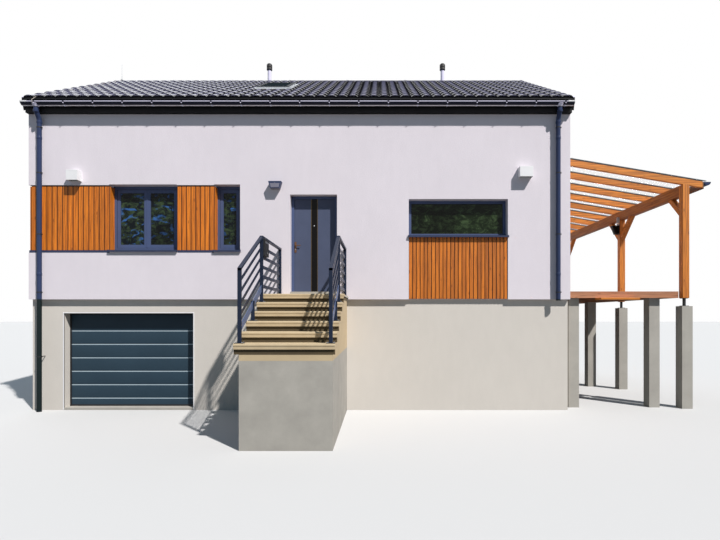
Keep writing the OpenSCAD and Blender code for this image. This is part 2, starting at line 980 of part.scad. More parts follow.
module door_leaf() {
    color("slategray")
        union() {
            difference() {
                block([leaf_x, leaf_face, leaf_low], [leaf_right, leaf_back, leaf_high]);
                block([strip_x - strip_w / 2, leaf_face - over, leaf_low - over],
                      [strip_x + strip_w / 2, leaf_face + strip_t, leaf_high + over]);
            }
            for (h = hinge_h)
                hinge_knuckle(h);
        }
}

module door_strip() {
    color("black")
        block([strip_x - strip_w / 2, leaf_face, leaf_low],
              [strip_x + strip_w / 2, leaf_face + strip_t, leaf_high]);
}

handle_x = leaf_x + handle_inset;
handle_z = main_floor_z + handle_h;
handle_plate_w = 44;
handle_plate_h = 240;
handle_plate_t = 8;
handle_neck = 45;
handle_bar_r = 10;
handle_bar_l = 130;

// A lever on its plate, outside the leaf
module lever() {
    union() {
        block([handle_x - handle_plate_w / 2, leaf_face - handle_plate_t, handle_z - handle_plate_h * 0.65],
              [handle_x + handle_plate_w / 2, leaf_face, handle_z + handle_plate_h * 0.35]);
        translate([handle_x, leaf_face, handle_z])
            rotate([90, 0, 0])
                cylinder(r = handle_bar_r, h = handle_plate_t + handle_neck);
        translate([handle_x - handle_bar_r, leaf_face - handle_plate_t - handle_neck + handle_bar_r, handle_z])
            rotate([0, 90, 0])
                cylinder(r = handle_bar_r, h = handle_bar_l);
    }
}

module door_handles() {
    color("goldenrod") {
        lever();
        translate([0, leaf_face + leaf_back, 0])
            mirror([0, 1, 0])
                lever();
    }
}

lamp_z = door_high + lamp_rise;
lamp_w = 290;
lamp_h = 150;
lamp_reach = 150;
lamp_taper = 45;

// The wall lamp: a tapered box, wider at its top
module wall_lamp() {
    color("dimgray")
        along_y(depth(-lamp_reach), depth(0))
            polygon([[lamp_x - lamp_w / 2 + lamp_taper, lamp_z - lamp_h / 2],
                     [lamp_x + lamp_w / 2 - lamp_taper, lamp_z - lamp_h / 2],
                     [lamp_x + lamp_w / 2, lamp_z + lamp_h / 2],
                     [lamp_x - lamp_w / 2, lamp_z + lamp_h / 2]]);
}

hood_t = 8;
hood_x = [-half_w + hood_inset[0], half_w - hood_inset[1]];

// A vent hood: a box that is open below, against the wall
module vent_hood(x, low, w) {
    difference() {
        block([x - w / 2, depth(-hood_reach), low], [x + w / 2, depth(0), low + hood_h]);
        block([x - w / 2 + hood_t, depth(-hood_reach + hood_t), low - over],
              [x + w / 2 - hood_t, depth(-hood_t), low + hood_h / 2]);
    }
}

module vent_hoods() {
    color("white")
        for (i = [0 : len(hood_x) - 1])
            vent_hood(hood_x[i], main_floor_z + hood_rise[i], hood_w[i]);
}

module garage_door() {
    face = depth(base_setback + garage_recess);
    color("darkslategray")
        difference() {
            block([garage_x, face, garage_floor_t], [garage_right, face + garage_t, garage_high]);
            for (z = [groove_low : groove_pitch : garage_high - groove_pitch / 2])
                block([garage_x - over, face - over, z - groove_w / 2],
                      [garage_right + over, face + groove_w / 2, z + groove_w / 2]);
        }
}

stair_right = stair_x + stair_w;

// Front edge and height of a tread, counted down from the landing
function tread_front(i) = -landing_d - i * step_going;
function tread_top(i) = landing_z - i * step_rise;

// The stepped mass under the treads, down to the lowest ground
module stair_core() {
    last = tread_count;
    steps = [for (i = [0 : last]) each [
        [depth(tread_front(i) + tread_nosing), tread_top(i) - tread_t],
        [depth(tread_front(i) + tread_nosing), (i == last ? 0 : tread_top(i + 1) - tread_t)]]];
    color("darkgray")
        union() {
            along_x(stair_x + core_inset_left, stair_right - core_inset_right)
                polygon(concat([[depth(base_setback), 0], [depth(base_setback), base_h],
                                [depth(0), base_h], [depth(0), landing_z - tread_t]], steps));
        }
}

module stair_treads() {
    color("burlywood")
        for (i = [1 : tread_count])
            block([stair_x, depth(tread_front(i)), tread_top(i) - tread_t],
                  [stair_right, depth(tread_front(i - 1) + tread_nosing), tread_top(i)]);
}

module landing() {
    color("burlywood")
        block([stair_x, depth(tread_front(0)), landing_z - tread_t], [stair_right, depth(0), landing_z]);
}

front_post_d = tread_front(tread_count) + plate_w / 2 + 30;
back_post_d = tread_front(1) + plate_w / 2 + 10;
middle_post_d = tread_front(3) + plate_w + 40;
wall_post_d = -rail_post_d;
back_rail_z = landing_z + rail_h;
front_rail_z = tread_top(tread_count) + rail_front_h;
flight_slope = (back_rail_z - front_rail_z) / (back_post_d - front_post_d);

// A flat bar in the railing's plane, by the upper edges of its two ends
module rail_bar(x, w, from, to, h) {
    along_x(x - w / 2, x + w / 2)
        polygon([[depth(from[0]), from[1]], [depth(to[0]), to[1]],
                 [depth(to[0]), to[1] - h], [depth(from[0]), from[1] - h]]);
}

module rail_post(x, d, low, high) {
    block([x - rail_post_w / 2, depth(d) - rail_post_d / 2, low],
          [x + rail_post_w / 2, depth(d) + rail_post_d / 2, high]);
}

module post_plate(x, d, low) {
    block([x - plate_w / 2, depth(d) - plate_w / 2, low], [x + plate_w / 2, depth(d) + plate_w / 2, low + plate_t]);
}

// One railing: the sloping part over the flight and the level part over the landing
module railing(x) {
    low_front = tread_top(tread_count);
    low_middle = tread_top(3);
    low_back = tread_top(1);
    skirt_drop = (bar_count + 1) * bar_pitch;
    union() {
        rail_post(x, front_post_d, low_front, front_rail_z);
        rail_post(x, back_post_d, low_back, back_rail_z);
        rail_post(x, wall_post_d, landing_z, back_rail_z);
        rail_post(x, middle_post_d, low_middle,
                  front_rail_z + flight_slope * (middle_post_d - front_post_d) - skirt_drop);
        post_plate(x, front_post_d, low_front);
        post_plate(x, back_post_d, low_back);
        post_plate(x, middle_post_d, low_middle);
        rail_bar(x, handrail_w, [front_post_d - rail_post_d / 2, front_rail_z],
                 [back_post_d, back_rail_z], handrail_t);
        rail_bar(x, handrail_w, [back_post_d, back_rail_z],
                 [wall_post_d + rail_post_d / 2, back_rail_z], handrail_t);
        for (i = [1 : bar_count])
            rail_bar(x, bar_t, [front_post_d, front_rail_z - i * bar_pitch],
                     [back_post_d, back_rail_z - i * bar_pitch], bar_h);
        for (i = [1 : bar_count + 1])
            rail_bar(x, bar_t, [back_post_d, back_rail_z - i * bar_pitch],
                     [wall_post_d, back_rail_z - i * bar_pitch], bar_h);
        rail_bar(x, bar_t, [front_post_d, front_rail_z - skirt_drop],
                 [back_post_d, back_rail_z - skirt_drop], skirt_h);
    }
}

rail_left_x = stair_x + rail_inset;
rail_right_x = stair_right - rail_inset;

module railing_left() {
    color("slategray")
        railing(rail_left_x);
}

module railing_right() {
    color("slategray")
        railing(rail_right_x);
}

// The letter box on the inner side of the left railing's level part
module letter_box() {
    top = back_rail_z - handrail_t;
    back = depth(back_post_d + rail_post_d / 2);
    face = rail_left_x + bar_t / 2;
    color("dimgray")
        block([face, back, top - letter_h], [face + letter_t, back + letter_w, top]);
}

fall = tan(pergola_pitch);
pergola_y0 = depth(pergola_front);
pergola_y1 = half_d - pergola_back;
pergola_len = pergola_y1 - pergola_y0;
rafter_x0 = half_w + ledger_t;
rafter_x1 = half_w + rafter_reach;
rafter_end = rafter_x1 - side_board_t;
beam_x1 = rafter_x1 - rafter_tail;
beam_x0 = beam_x1 - post_w;
deck_z = main_floor_z + deck_rise;
deck_low = deck_z - deck_t;
deck_w = beam_x0 - deck_post_gap - half_w;
rafter_high = main_floor_z + rafter_rise;

// Height of the rafters' upper edge at a place along X
function rafter_top(x) = rafter_high - fall * (x - half_w);
beam_top = rafter_top(beam_x1) - rafter_depth + rafter_notch;
beam_bottom = beam_top - beam_h;

module pergola_ledger() {
    color("peru")
        block([half_w, pergola_y0, rafter_top(rafter_x0) - rafter_depth - 20],
              [rafter_x0, pergola_y1, rafter_top(rafter_x0)]);
}

// The outline of a rafter, seen from the front
module rafter_outline() {
    polygon([[rafter_x0, rafter_top(rafter_x0)], [rafter_end, rafter_top(rafter_end)],
             [rafter_end, rafter_top(rafter_end) - rafter_depth],
             [rafter_x0, rafter_top(rafter_x0) - rafter_depth]]);
}

// The rafters stand at their pitch from the front, and the last one at the pergola's back end
module each_rafter() {
    for (y = [0 : rafter_spacing : pergola_len - 3 * rafter_t])
        translate([0, pergola_y0 + y, 0])
            children();
    translate([0, pergola_y1 - rafter_t, 0])
        children();
}

module pergola_rafters() {
    color("peru")
        difference() {
            each_rafter()
                along_y(0, rafter_t)
                    rafter_outline();
            block([beam_x0, pergola_y0 - over, beam_bottom], [beam_x1, pergola_y1 + over, beam_top]);
        }
}

module pergola_beam() {
    color("sienna")
        block([beam_x0, pergola_y0 + post_w, beam_bottom], [beam_x1, pergola_y1 - post_w, beam_top]);
}

middle_y = pergola_y0 + middle_post;

module pergola_posts() {
    color("peru") {
        block([beam_x0, pergola_y0, deck_low], [beam_x1, pergola_y0 + post_w, beam_top]);
        block([beam_x0, middle_y, deck_low], [beam_x1, middle_y + post_w, beam_bottom]);
        block([beam_x0, pergola_y1 - post_w, deck_low], [beam_x1, pergola_y1, beam_top]);
    }
}

// A knee brace that rises towards +Y from a post's face up to the beam
module knee_brace(y, leg) {
    middle = (beam_x0 + beam_x1) / 2;
    cut = brace_w * sqrt(2);
    along_x(middle - brace_t / 2, middle + brace_t / 2)
        polygon([[y, beam_bottom - leg], [y + leg, beam_bottom],
                 [y + leg - cut, beam_bottom], [y, beam_bottom - leg + cut]]);
}

module knee_brace_back(y, leg) {
    translate([0, 2 * y, 0])
        mirror([0, 1, 0])
            knee_brace(y, leg);
}

module pergola_braces() {
    color("sienna") {
        knee_brace(pergola_y0 + post_w, end_brace);
        knee_brace_back(middle_y, middle_brace);
        knee_brace(middle_y + post_w, middle_brace);
        knee_brace_back(pergola_y1 - post_w, middle_brace);
    }
}

// A layer over the rafters between two heights above their upper edge
module over_rafters(from_x, to_x, low, high) {
    polygon([[from_x, rafter_top(from_x) + low], [to_x, rafter_top(to_x) + low],
             [to_x, rafter_top(to_x) + high], [from_x, rafter_top(from_x) + high]]);
}

module pergola_seals() {
    color("black")
        each_rafter()
            along_y(0, rafter_t)
                over_rafters(rafter_x0, rafter_end, 0, seal_t - seat);
}

module pergola_sheet() {
    color("white")
        along_y(pergola_y0, pergola_y1)
            over_rafters(half_w, rafter_x1 + sheet_side, seal_t, seal_t + sheet_t);
}

// The board along the rafters' ends, which carries the gutter
module pergola_side_board() {
    top = rafter_top(rafter_x1);
    color("peru")
        block([rafter_end, pergola_y0, top - side_board_h], [rafter_x1, pergola_y1, top]);
}

sheet_gap = 10;
side_gutter_x = rafter_x1 + side_gutter_r;
side_gutter_z = rafter_top(rafter_x1 + sheet_side) + seal_t - sheet_gap;

// The gutter along the pergola's low edge
module pergola_gutter() {
    color("black")
        difference() {
            translate([side_gutter_x, (pergola_y0 + pergola_y1) / 2, side_gutter_z])
                rotate([90, 0, 0])
                    cylinder(r = side_gutter_r, h = pergola_len, center = true);
            translate([side_gutter_x, (pergola_y0 + pergola_y1) / 2, side_gutter_z])
                rotate([90, 0, 0])
                    cylinder(r = side_gutter_r - gutter_t, h = pergola_len - 2 * gutter_t, center = true);
            block([side_gutter_x - 2 * side_gutter_r, pergola_y0 - over, side_gutter_z],
                  [side_gutter_x + 2 * side_gutter_r, pergola_y1 + over, side_gutter_z + 2 * side_gutter_r]);
        }
}

flood_d = 120;
flood_arm = 70;

// The floodlight on the house side of the middle post, on an arm from the beam
module pergola_lamp() {
    top = beam_bottom - flood_drop;
    color("dimgray")
        union() {
            along_y(middle_y, middle_y + flood_d)
                polygon([[beam_x0, top], [beam_x0 - flood_w, top - 20],
                         [beam_x0 - flood_w * 0.6, top - flood_h], [beam_x0, top - flood_h]]);
            block([beam_x0 - flood_arm, middle_y + 20, top - over],
                  [beam_x0, middle_y + 60, beam_bottom + beam_h / 3]);
        }
}

module at_posts() {
    for (y = [pergola_y0, middle_y, pergola_y1 - post_w])
        translate([(beam_x0 + beam_x1) / 2, y + post_w / 2, 0])
            children();
}

module pergola_feet() {
    color("dimgray")
        at_posts()
            translate([0, 0, deck_low - foot_h])
                cylinder(r = foot_r, h = foot_h);
}

deck_pier_x = [half_w + pier_w, half_w + deck_w - 2 * pier_w];
deck_pier_y = [pergola_y0 + pier_w, (pergola_y0 + pergola_y1) / 2, pergola_y1 - pier_w];

// The piers under the pergola's posts and under the terrace
module pergola_piers() {
    color("darkgray") {
        at_posts()
            translate([-pier_w / 2, -pier_w / 2, 0])
                cube([pier_w, pier_w, deck_low - foot_h]);
        for (x = deck_pier_x, y = deck_pier_y)
            block([x - pier_w / 2, y - pier_w / 2, 0], [x + pier_w / 2, y + pier_w / 2, deck_low]);
    }
}

module terrace_deck() {
    color("sienna")
        block([half_w, pergola_y0, deck_low], [half_w + deck_w, pergola_y1, deck_z]);
}

// The step board under the terrace's front edge
module terrace_step() {
    color("sienna")
        block([half_w + deck_step_x, pergola_y0 - deck_step_reach, deck_low - deck_step_t],
              [half_w + deck_step_x + deck_step_w, pergola_y0 + deck_step_lap, deck_low]);
}

garage_floor();
garage_front_wall();
garage_back_wall();
garage_left_wall();
garage_right_wall();
main_floor();
front_wall_left();
front_wall_over_door();
front_wall_right();
door_threshold();
back_wall();
left_gable_wall();
right_gable_wall();
attic_floor();
roof_deck_front();
roof_deck_back();
roof_skin_front();
roof_skin_back();
ridge_cap();
verge_trims();
eave_boards();
gutters();
downpipes();
roof_window_frame();
roof_window_glass();
vent_stacks();
lightning_rod();
window_frames();
window_glass();
window_sills();
cladding_left();
cladding_middle();
cladding_kitchen();
door_frame();
door_leaf();
door_strip();
door_handles();
wall_lamp();
vent_hoods();
garage_door();
stair_core();
stair_treads();
landing();
railing_left();
railing_right();
letter_box();
pergola_ledger();
pergola_rafters();
pergola_beam();
pergola_posts();
pergola_braces();
pergola_seals();
pergola_sheet();
pergola_side_board();
pergola_gutter();
pergola_feet();
pergola_piers();
pergola_lamp();
terrace_deck();
terrace_step();
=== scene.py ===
import math
import bmesh
import bpy
from mathutils import Matrix, Vector


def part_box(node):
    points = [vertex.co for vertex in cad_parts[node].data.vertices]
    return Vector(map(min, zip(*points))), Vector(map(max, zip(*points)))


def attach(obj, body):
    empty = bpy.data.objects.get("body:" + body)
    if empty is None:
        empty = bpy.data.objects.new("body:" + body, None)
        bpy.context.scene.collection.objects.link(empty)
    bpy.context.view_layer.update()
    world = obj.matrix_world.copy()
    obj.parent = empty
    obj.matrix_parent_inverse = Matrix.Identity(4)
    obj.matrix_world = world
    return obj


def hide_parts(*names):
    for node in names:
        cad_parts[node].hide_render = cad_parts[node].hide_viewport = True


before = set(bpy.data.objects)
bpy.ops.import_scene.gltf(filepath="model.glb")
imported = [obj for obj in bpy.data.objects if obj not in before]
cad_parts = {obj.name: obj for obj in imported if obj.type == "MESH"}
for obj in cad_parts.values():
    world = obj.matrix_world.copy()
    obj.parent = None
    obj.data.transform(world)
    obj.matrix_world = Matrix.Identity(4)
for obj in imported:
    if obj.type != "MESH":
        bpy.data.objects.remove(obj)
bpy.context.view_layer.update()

bl_info = {
    "name": "Detached house",
    "version": (1, 0, 0),
    "blender": (4, 5, 0),
    "location": "3D View > Sidebar > House",
    "description": "Builds the visible pieces of a detached house on its CAD frame",
    "category": "Object",
}


# Sizes and places, in metres, most of them from the CAD frame

X, Y, Z = 0, 1, 2


def low(node, axis):
    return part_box(node)[0][axis]


def high(node, axis):
    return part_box(node)[1][axis]


HALF_W = high("back_wall", X)
FRONT = low("front_wall_left", Y)
BASE_Z = low("front_wall_left", Z)
FLOOR_Z = high("main_floor", Z)
RIDGE_Z = high("roof_skin_front", Z)
SKIN_T = 0.045
EAVE_Y = low("roof_skin_front", Y)
SLOPE = (RIDGE_Z - low("roof_skin_front", Z) - SKIN_T) / -EAVE_Y
PITCH = math.atan(SLOPE)
VERGE_X = high("verge_trims", X)
FASCIA_Y = low("eave_boards", Y)
SOFFIT_Z = low("eave_boards", Z)
GUTTER_R = (FASCIA_Y - low("gutters", Y)) / 2
GUTTER_RIM = high("gutters", Z)
PIPE_R = 0.05
PIPE_X = 5.72
WIN_LOW = low("window_glass", Z) - 0.147
WIN_TOP = WIN_LOW + 1.46
WIN_Y = low("window_frames", Y)
BOARD_BACK = FRONT + 0.04
BOARD_T = 0.02
# Left and right edges of the front's openings and of the stair
TWIN = (-4.23, -2.73)
NARROW = (-1.9, -1.32)
KITCHEN = (2.43, 4.634)
DOOR = (-0.21, 0.834)
STAIR = (low("landing", X), high("landing", X))
DOOR_TOP = FLOOR_Z + 2.16
DOOR_Y = FRONT + 0.165
LEAF_Y = DOOR_Y + 0.025
LEAF_BACK = LEAF_Y + 0.06
HINGES = (FLOOR_Z + 0.25, FLOOR_Z + 1.08, FLOOR_Z + 1.9)
LANDING_Z = high("landing", Z)
RAFTER_SPACING = 0.818
RAFTER_COUNT = 9
DECK_PITCH = 0.146


def skin_z(y):
    """Height of the roof skin at a place in depth."""
    return RIDGE_Z - SLOPE * abs(y)


# Mesh making

def in_space(axis, across, along):
    """A place from its two coordinates across an axis and the one along it."""
    place = list(across)
    place.insert(axis, along)
    return place


def rectangle(x0, x1, y0, y1):
    return [(x0, y0), (x1, y0), (x1, y1), (x0, y1)]


def circle(r, sides, x=0.0, y=0.0):
    return [(x + r * math.cos(t), y + r * math.sin(t)) for t in (2 * math.pi * k / sides for k in range(sides))]


class Shape:
    """Collects closed bodies with a finish number on each face, and turns them into one piece."""

    def __init__(self):
        self.corners = []
        self.faces = []
        self.marks = []
        self.place = Matrix()

    def add(self, corners, faces, mark=0):
        start = len(self.corners)
        self.corners += [self.place @ Vector(c) for c in corners]
        self.faces += [[start + i for i in f] for f in faces]
        self.marks += [mark] * len(faces)

    def loft(self, rings, mark=0):
        """A body through rings with equally many corners, closed by the first ring and the last."""
        n = len(rings[0])
        last = n * (len(rings) - 1)
        faces = [range(n), range(last + n - 1, last - 1, -1)]
        faces += [(k + i, k + (i + 1) % n, k + n + (i + 1) % n, k + n + i) for k in range(0, last, n) for i in range(n)]
        self.add([corner for ring in rings for corner in ring], faces, mark)

    def prism(self, outline, axis, a, b, mark=0):
        """An outline in the other two axes, drawn out along an axis from a to b."""
        self.loft([[in_space(axis, p, t) for p in outline] for t in (a, b)], mark)

    def block(self, a, b, mark=0):
        """A box between two opposite corners."""
        self.prism(rectangle(a[X], b[X], a[Y], b[Y]), Z, a[Z], b[Z], mark)

    def ring(self, outer, inner, axis, a, b, mark=0):
        """The space between two outlines with equally many corners, drawn out from a to b."""
        n = len(outer)
        faces = []
        for i in range(n):
            j = (i + 1) % n
            faces += [(i, j, n + j, n + i), (2 * n + i, 2 * n + j, 3 * n + j, 3 * n + i),
                      (i, j, 2 * n + j, 2 * n + i), (n + i, n + j, 3 * n + j, 3 * n + i)]
        self.add([in_space(axis, p, t) for t in (a, b) for outline in (outer, inner) for p in outline], faces, mark)

    def frame(self, x0, x1, z0, z1, w, a, b, mark=0, axis=Y):
        """A mitred frame of four bars of the width w, from a to b along an axis."""
        self.ring(rectangle(x0, x1, z0, z1), rectangle(x0 + w, x1 - w, z0 + w, z1 - w), axis, a, b, mark)

    def tube(self, path, r, sides=12, mark=0):
        """A round bar along a path of points."""
        path = [Vector(p) for p in path]
        side = (path[1] - path[0]).orthogonal()
        rings = []
        for before, p, after in zip(path[:1] + path, path, path[1:] + path[-1:]):
            ahead = (after - before).normalized()
            side = (side - ahead * side.dot(ahead)).normalized()
            up = ahead.cross(side)
            rings.append([p + side * x + up * y for x, y in circle(r, sides)])
        self.loft(rings, mark)

    def turned(self, centre, profile, axis=Z, sides=24, mark=0):
        """A profile of radius and height pairs, turned about an axis; it starts and ends on a flat disc."""
        across = [c for i, c in enumerate(centre) if i != axis]
        self.loft([[in_space(axis, p, centre[axis] + h) for p in circle(r, sides, *across)] for r, h in profile], mark)

    def move(self, x=0.0, y=0.0, z=0.0):
        self.corners = [c + Vector((x, y, z)) for c in self.corners]

    def take(self, mesh, mark=0):
        """Adds a finished mesh."""
        self.add([v.co for v in mesh.vertices], [tuple(p.vertices) for p in mesh.polygons], mark)

    def repeat(self, part, count, step, finish_name, mark=0, rows=1, row_step=(0, 0, 0)):
        """Adds rows of a part."""
        self.take(rows_of(part, count, step, finish_name, rows, row_step), mark)

    def mesh(self, name):
        """The collected bodies as a mesh, with all faces pointing outwards."""
        result = bpy.data.meshes.new(name)
        result.from_pydata(self.corners, [], self.faces)
        result.polygons.foreach_set("material_index", self.marks)
        work = bmesh.new()
        work.from_mesh(result)
        bmesh.ops.recalc_face_normals(work, faces=work.faces)
        work.to_mesh(result)
        work.free()
        return result


def smooth_object(name, mesh, round_over=35):
    """An object in the scene whose faces look round where they meet at less than an angle in degrees."""
    mesh.polygons.foreach_set("use_smooth", [True] * len(mesh.polygons))
    mesh.set_sharp_from_angle(angle=math.radians(round_over))
    obj = bpy.data.objects.new(name, mesh)
    bpy.context.scene.collection.objects.link(obj)
    return obj


def piece(name, shape, finishes, nodes, bevel=0.0, body="house"):
    """Makes a shape a piece of the house: its finishes, soft edges, body and the CAD nodes that it stands for."""
    mesh = shape.mesh(name)
    for each in finishes.split():
        mesh.materials.append(finish(each))
    obj = smooth_object(name, mesh)
    if bevel:
        soft = obj.modifiers.new("Soft edges", "BEVEL")
        soft.width = bevel
        soft.segments = 2
        soft.limit_method = "ANGLE"
        soft.angle_limit = math.radians(40)
        soft.harden_normals = True
    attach(obj, body)
    if nodes:
        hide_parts(*nodes.split())


def front_and_back(shape):
    """Turns the place of what is added to a shape, for what is alike on both long sides; True stands for the front."""
    for turn in (0, math.pi):
        shape.place = Matrix.Rotation(turn, 4, "Z")
        yield turn == 0
    shape.place = Matrix()


def row_tree():
    """The node tree that repeats one part in rows, and joins the copies."""
    name = "Rows of a part"
    if name in bpy.data.node_groups:
        return bpy.data.node_groups[name]
    tree = bpy.data.node_groups.new(name, "GeometryNodeTree")
    tree.is_modifier = True
    tree.interface.new_socket("Geometry", in_out="OUTPUT", socket_type="NodeSocketGeometry")
    for label, kind in (("Geometry", "Geometry"), ("Part", "Object"), ("Count", "Int"), ("Step", "Vector"),
                        ("Rows", "Int"), ("Row step", "Vector"), ("Finish", "Material")):
        tree.interface.new_socket(label, in_out="INPUT", socket_type="NodeSocket" + kind)
    given, part, line, rows, spread, points, copies, joined, coat, result = (tree.nodes.new(kind) for kind in (
        "NodeGroupInput", "GeometryNodeObjectInfo", "GeometryNodeMeshLine", "GeometryNodeMeshLine",
        "GeometryNodeInstanceOnPoints", "GeometryNodeRealizeInstances", "GeometryNodeInstanceOnPoints",
        "GeometryNodeRealizeInstances", "GeometryNodeSetMaterial", "NodeGroupOutput"))
    part.inputs["As Instance"].default_value = True
    for source, output, target, entry in (
            (given, "Part", part, "Object"), (given, "Count", line, "Count"), (given, "Step", line, "Offset"),
            (given, "Rows", rows, "Count"), (given, "Row step", rows, "Offset"),
            (rows, "Mesh", spread, "Points"), (line, "Mesh", spread, "Instance"),
            (spread, "Instances", points, "Geometry"), (points, "Geometry", copies, "Points"),
            (part, "Geometry", copies, "Instance"), (copies, "Instances", joined, "Geometry"),
            (joined, "Geometry", coat, "Geometry"), (given, "Finish", coat, "Material"),
            (coat, "Geometry", result, "Geometry")):
        tree.links.new(source.outputs[output], target.inputs[entry])
    return tree


def rows_of(part, count, step, finish_name, rows=1, row_step=(0, 0, 0)):
    """A mesh of one part repeated in rows by Geometry Nodes."""
    source = bpy.data.objects.new("Repeated part", part.mesh("Repeated part"))
    holder = bpy.data.objects.new("Rows", bpy.data.meshes.new("Rows"))
    for obj in (source, holder):
        bpy.context.scene.collection.objects.link(obj)
    modifier = holder.modifiers.new("Rows", "NODES")
    modifier.node_group = row_tree()
    values = {"Part": source, "Count": count, "Step": Vector(step), "Rows": rows, "Row step": Vector(row_step),
              "Finish": finish(finish_name)}
    for item in modifier.node_group.interface.items_tree:
        if item.in_out == "INPUT" and item.name in values:
            modifier[item.identifier] = values[item.name]
    mesh = bpy.data.meshes.new_from_object(holder.evaluated_get(bpy.context.evaluated_depsgraph_get()))
    if len(mesh.vertices) != len(source.data.vertices) * count * rows:
        raise RuntimeError("The rows of a part came out incomplete.")
    holder.modifiers.remove(modifier)
    for obj in (holder, source):
        bpy.data.objects.remove(obj)
    return mesh


# Finishes

def screen(r, g, b):
    """A screen colour from 0 to 255, as the linear colour that a shader takes."""
    def one(c):
        c = c / 255
        return c / 12.92 if c <= 0.04045 else ((c + 0.055) / 1.055) ** 2.4
    return (one(r), one(g), one(b), 1.0)


def tint(colour):
    """A shader's colour, from the name of a setting, three screen values or four linear ones."""
    if isinstance(colour, str):
        return tuple(getattr(HOUSE, colour))
    return screen(*colour) if len(colour) == 3 else colour


class Finish:
    """A procedural finish; its patterns read Object coordinates."""

    def __init__(self, name, colour, roughness=0.5, metallic=0.0, shine=0.5):
        self.material = bpy.data.materials.new(name)
        self.material.use_nodes = True
        self.tree = self.material.node_tree
        self.shader = self.tree.nodes["Principled BSDF"]
        self.colour = tint(colour)
        self.normal = None
        self.coords = self.tree.nodes.new("ShaderNodeTexCoord").outputs["Object"]
        self.set("Base Color", self.colour)
        self.set("Roughness", roughness)
        self.set("Metallic", metallic)
        self.set("Specular IOR Level", shine)

    def set(self, socket, value):
        self.shader.inputs[socket].default_value = value

    def node(self, kind, inputs, **settings):
        """A new node; each input is a fixed value or another node's output."""
        made = self.tree.nodes.new(kind)
        for key, value in settings.items():
            setattr(made, key, value)
        for key, value in inputs.items():
            if isinstance(value, bpy.types.NodeSocket):
                self.tree.links.new(value, made.inputs[key])
            else:
                made.inputs[key].default_value = value
        return made

    def math(self, operation, a, b=0.0):
        return self.node("ShaderNodeMath", {0: a, 1: b}, operation=operation).outputs[0]

    def part(self, axis):
        """One coordinate of the place on the piece."""
        return self.node("ShaderNodeSeparateXYZ", {0: self.coords}).outputs[axis]

    def scaled(self, stretch):
        return self.node("ShaderNodeMapping", {"Vector": self.coords, "Scale": stretch}).outputs[0]

    def noise(self, scale, detail=3.0, stretch=None, roughness=0.55, distortion=0.0):
        where = self.scaled(stretch) if stretch else self.coords
        return self.node("ShaderNodeTexNoise", {"Vector": where, "Scale": scale, "Detail": detail,
                                                "Roughness": roughness, "Distortion": distortion}).outputs["Fac"]

    def cells(self, scale, stretch=(1, 1, 1)):
        """Distance from the nearest of many scattered points."""
        return self.node("ShaderNodeTexVoronoi", {"Vector": self.scaled(stretch), "Scale": scale}).outputs["Distance"]

    def span(self, value, a, b, c=0.0, d=1.0):
        """A value's range from a to b, spread from c to d and kept inside it."""
        return self.node("ShaderNodeMapRange", {"Value": value, "From Min": a, "From Max": b,
                                                "To Min": c, "To Max": d}).outputs["Result"]

    def board_tone(self, axis, start, pitch):
        """A random value from 0 to 1 for each board along an axis."""
        number = self.math("FLOOR", self.math("DIVIDE", self.math("SUBTRACT", self.part(axis), start), pitch))
        return self.node("ShaderNodeTexWhiteNoise", {"W": number}, noise_dimensions="1D").outputs["Value"]

    def mix(self, value, a, b, kind="MIX"):
        return self.node("ShaderNodeMix", {0: value, 6: a, 7: b}, data_type="RGBA", blend_type=kind).outputs[2]

    def paint(self, colour):
        self.colour = colour
        self.tree.links.new(colour, self.shader.inputs["Base Color"])

    def vary(self, value, dark, light=1.0, warm=0.0):
        """Multiplies the colour by dark where a pattern is 0 and by light where it is 1."""
        tone = self.mix(value, (dark, dark * (1 - warm), dark * (1 - 2 * warm), 1), (light, light, light, 1))
        self.paint(self.mix(1.0, self.colour, tone, "MULTIPLY"))

    def mottle(self, scale, detail, dark, warm=0.0, **noise):
        """Darkens soft patches of the colour."""
        self.vary(self.span(self.noise(scale, detail, **noise), 0.3, 0.7), dark, warm=warm)

    def towards(self, value, colour):
        """Moves the colour towards another one where a pattern is 1."""
        self.paint(self.mix(value, self.colour, tint(colour)))

    def above(self, axis, place, blur=0.005):
        """1 past a place on an axis and 0 before it."""
        return self.span(self.part(axis), place - blur, place + blur)

    def gloss(self, value, dull, shiny):
        """Lets the roughness follow a pattern, from dull at 0 to shiny at 1."""
        self.tree.links.new(self.span(value, 0.0, 1.0, dull, shiny), self.shader.inputs["Roughness"])

    def relief(self, value, depth, strength=1.0):
        """Adds a relief of that depth in metres."""
        bump = self.node("ShaderNodeBump", {"Height": value, "Distance": depth, "Strength": strength})
        if self.normal is not None:
            self.tree.links.new(self.normal, bump.inputs["Normal"])
        self.normal = bump.outputs[0]
        self.tree.links.new(self.normal, self.shader.inputs["Normal"])


def plaster(name, colour):
    made = Finish(name, colour, 0.92)
    made.vary(made.span(made.noise(0.55, 4, roughness=0.6), 0.35, 0.65), 0.965)
    made.mottle(7.0, 3, 0.975, stretch=(1, 1, 0.35))
    made.relief(made.noise(260.0, 3, roughness=0.7), 0.0022)
    made.relief(made.noise(34.0, 2), 0.0016)
    return made


def coated(name, colour, roughness=0.38, grain=0.0004, shine=0.15):
    """Powder-coated metal."""
    made = Finish(name, colour, roughness, shine=shine)
    made.mottle(3.0, 3, 0.9)
    made.gloss(made.noise(9.0, 3), roughness + 0.07, roughness - 0.05)
    made.relief(made.noise(900.0, 2), grain)
    return made


def plain(name, colour, roughness, metallic=0.0, scale=60.0, depth=0.0005, dark=0.9, shine=0.5):
    """Any smooth material with faint patches and a fine relief."""
    made = Finish(name, colour, roughness, metallic, shine)
    made.mottle(scale * 0.1, 3, dark)
    made.relief(made.noise(scale * 8, 3), depth)
    return made


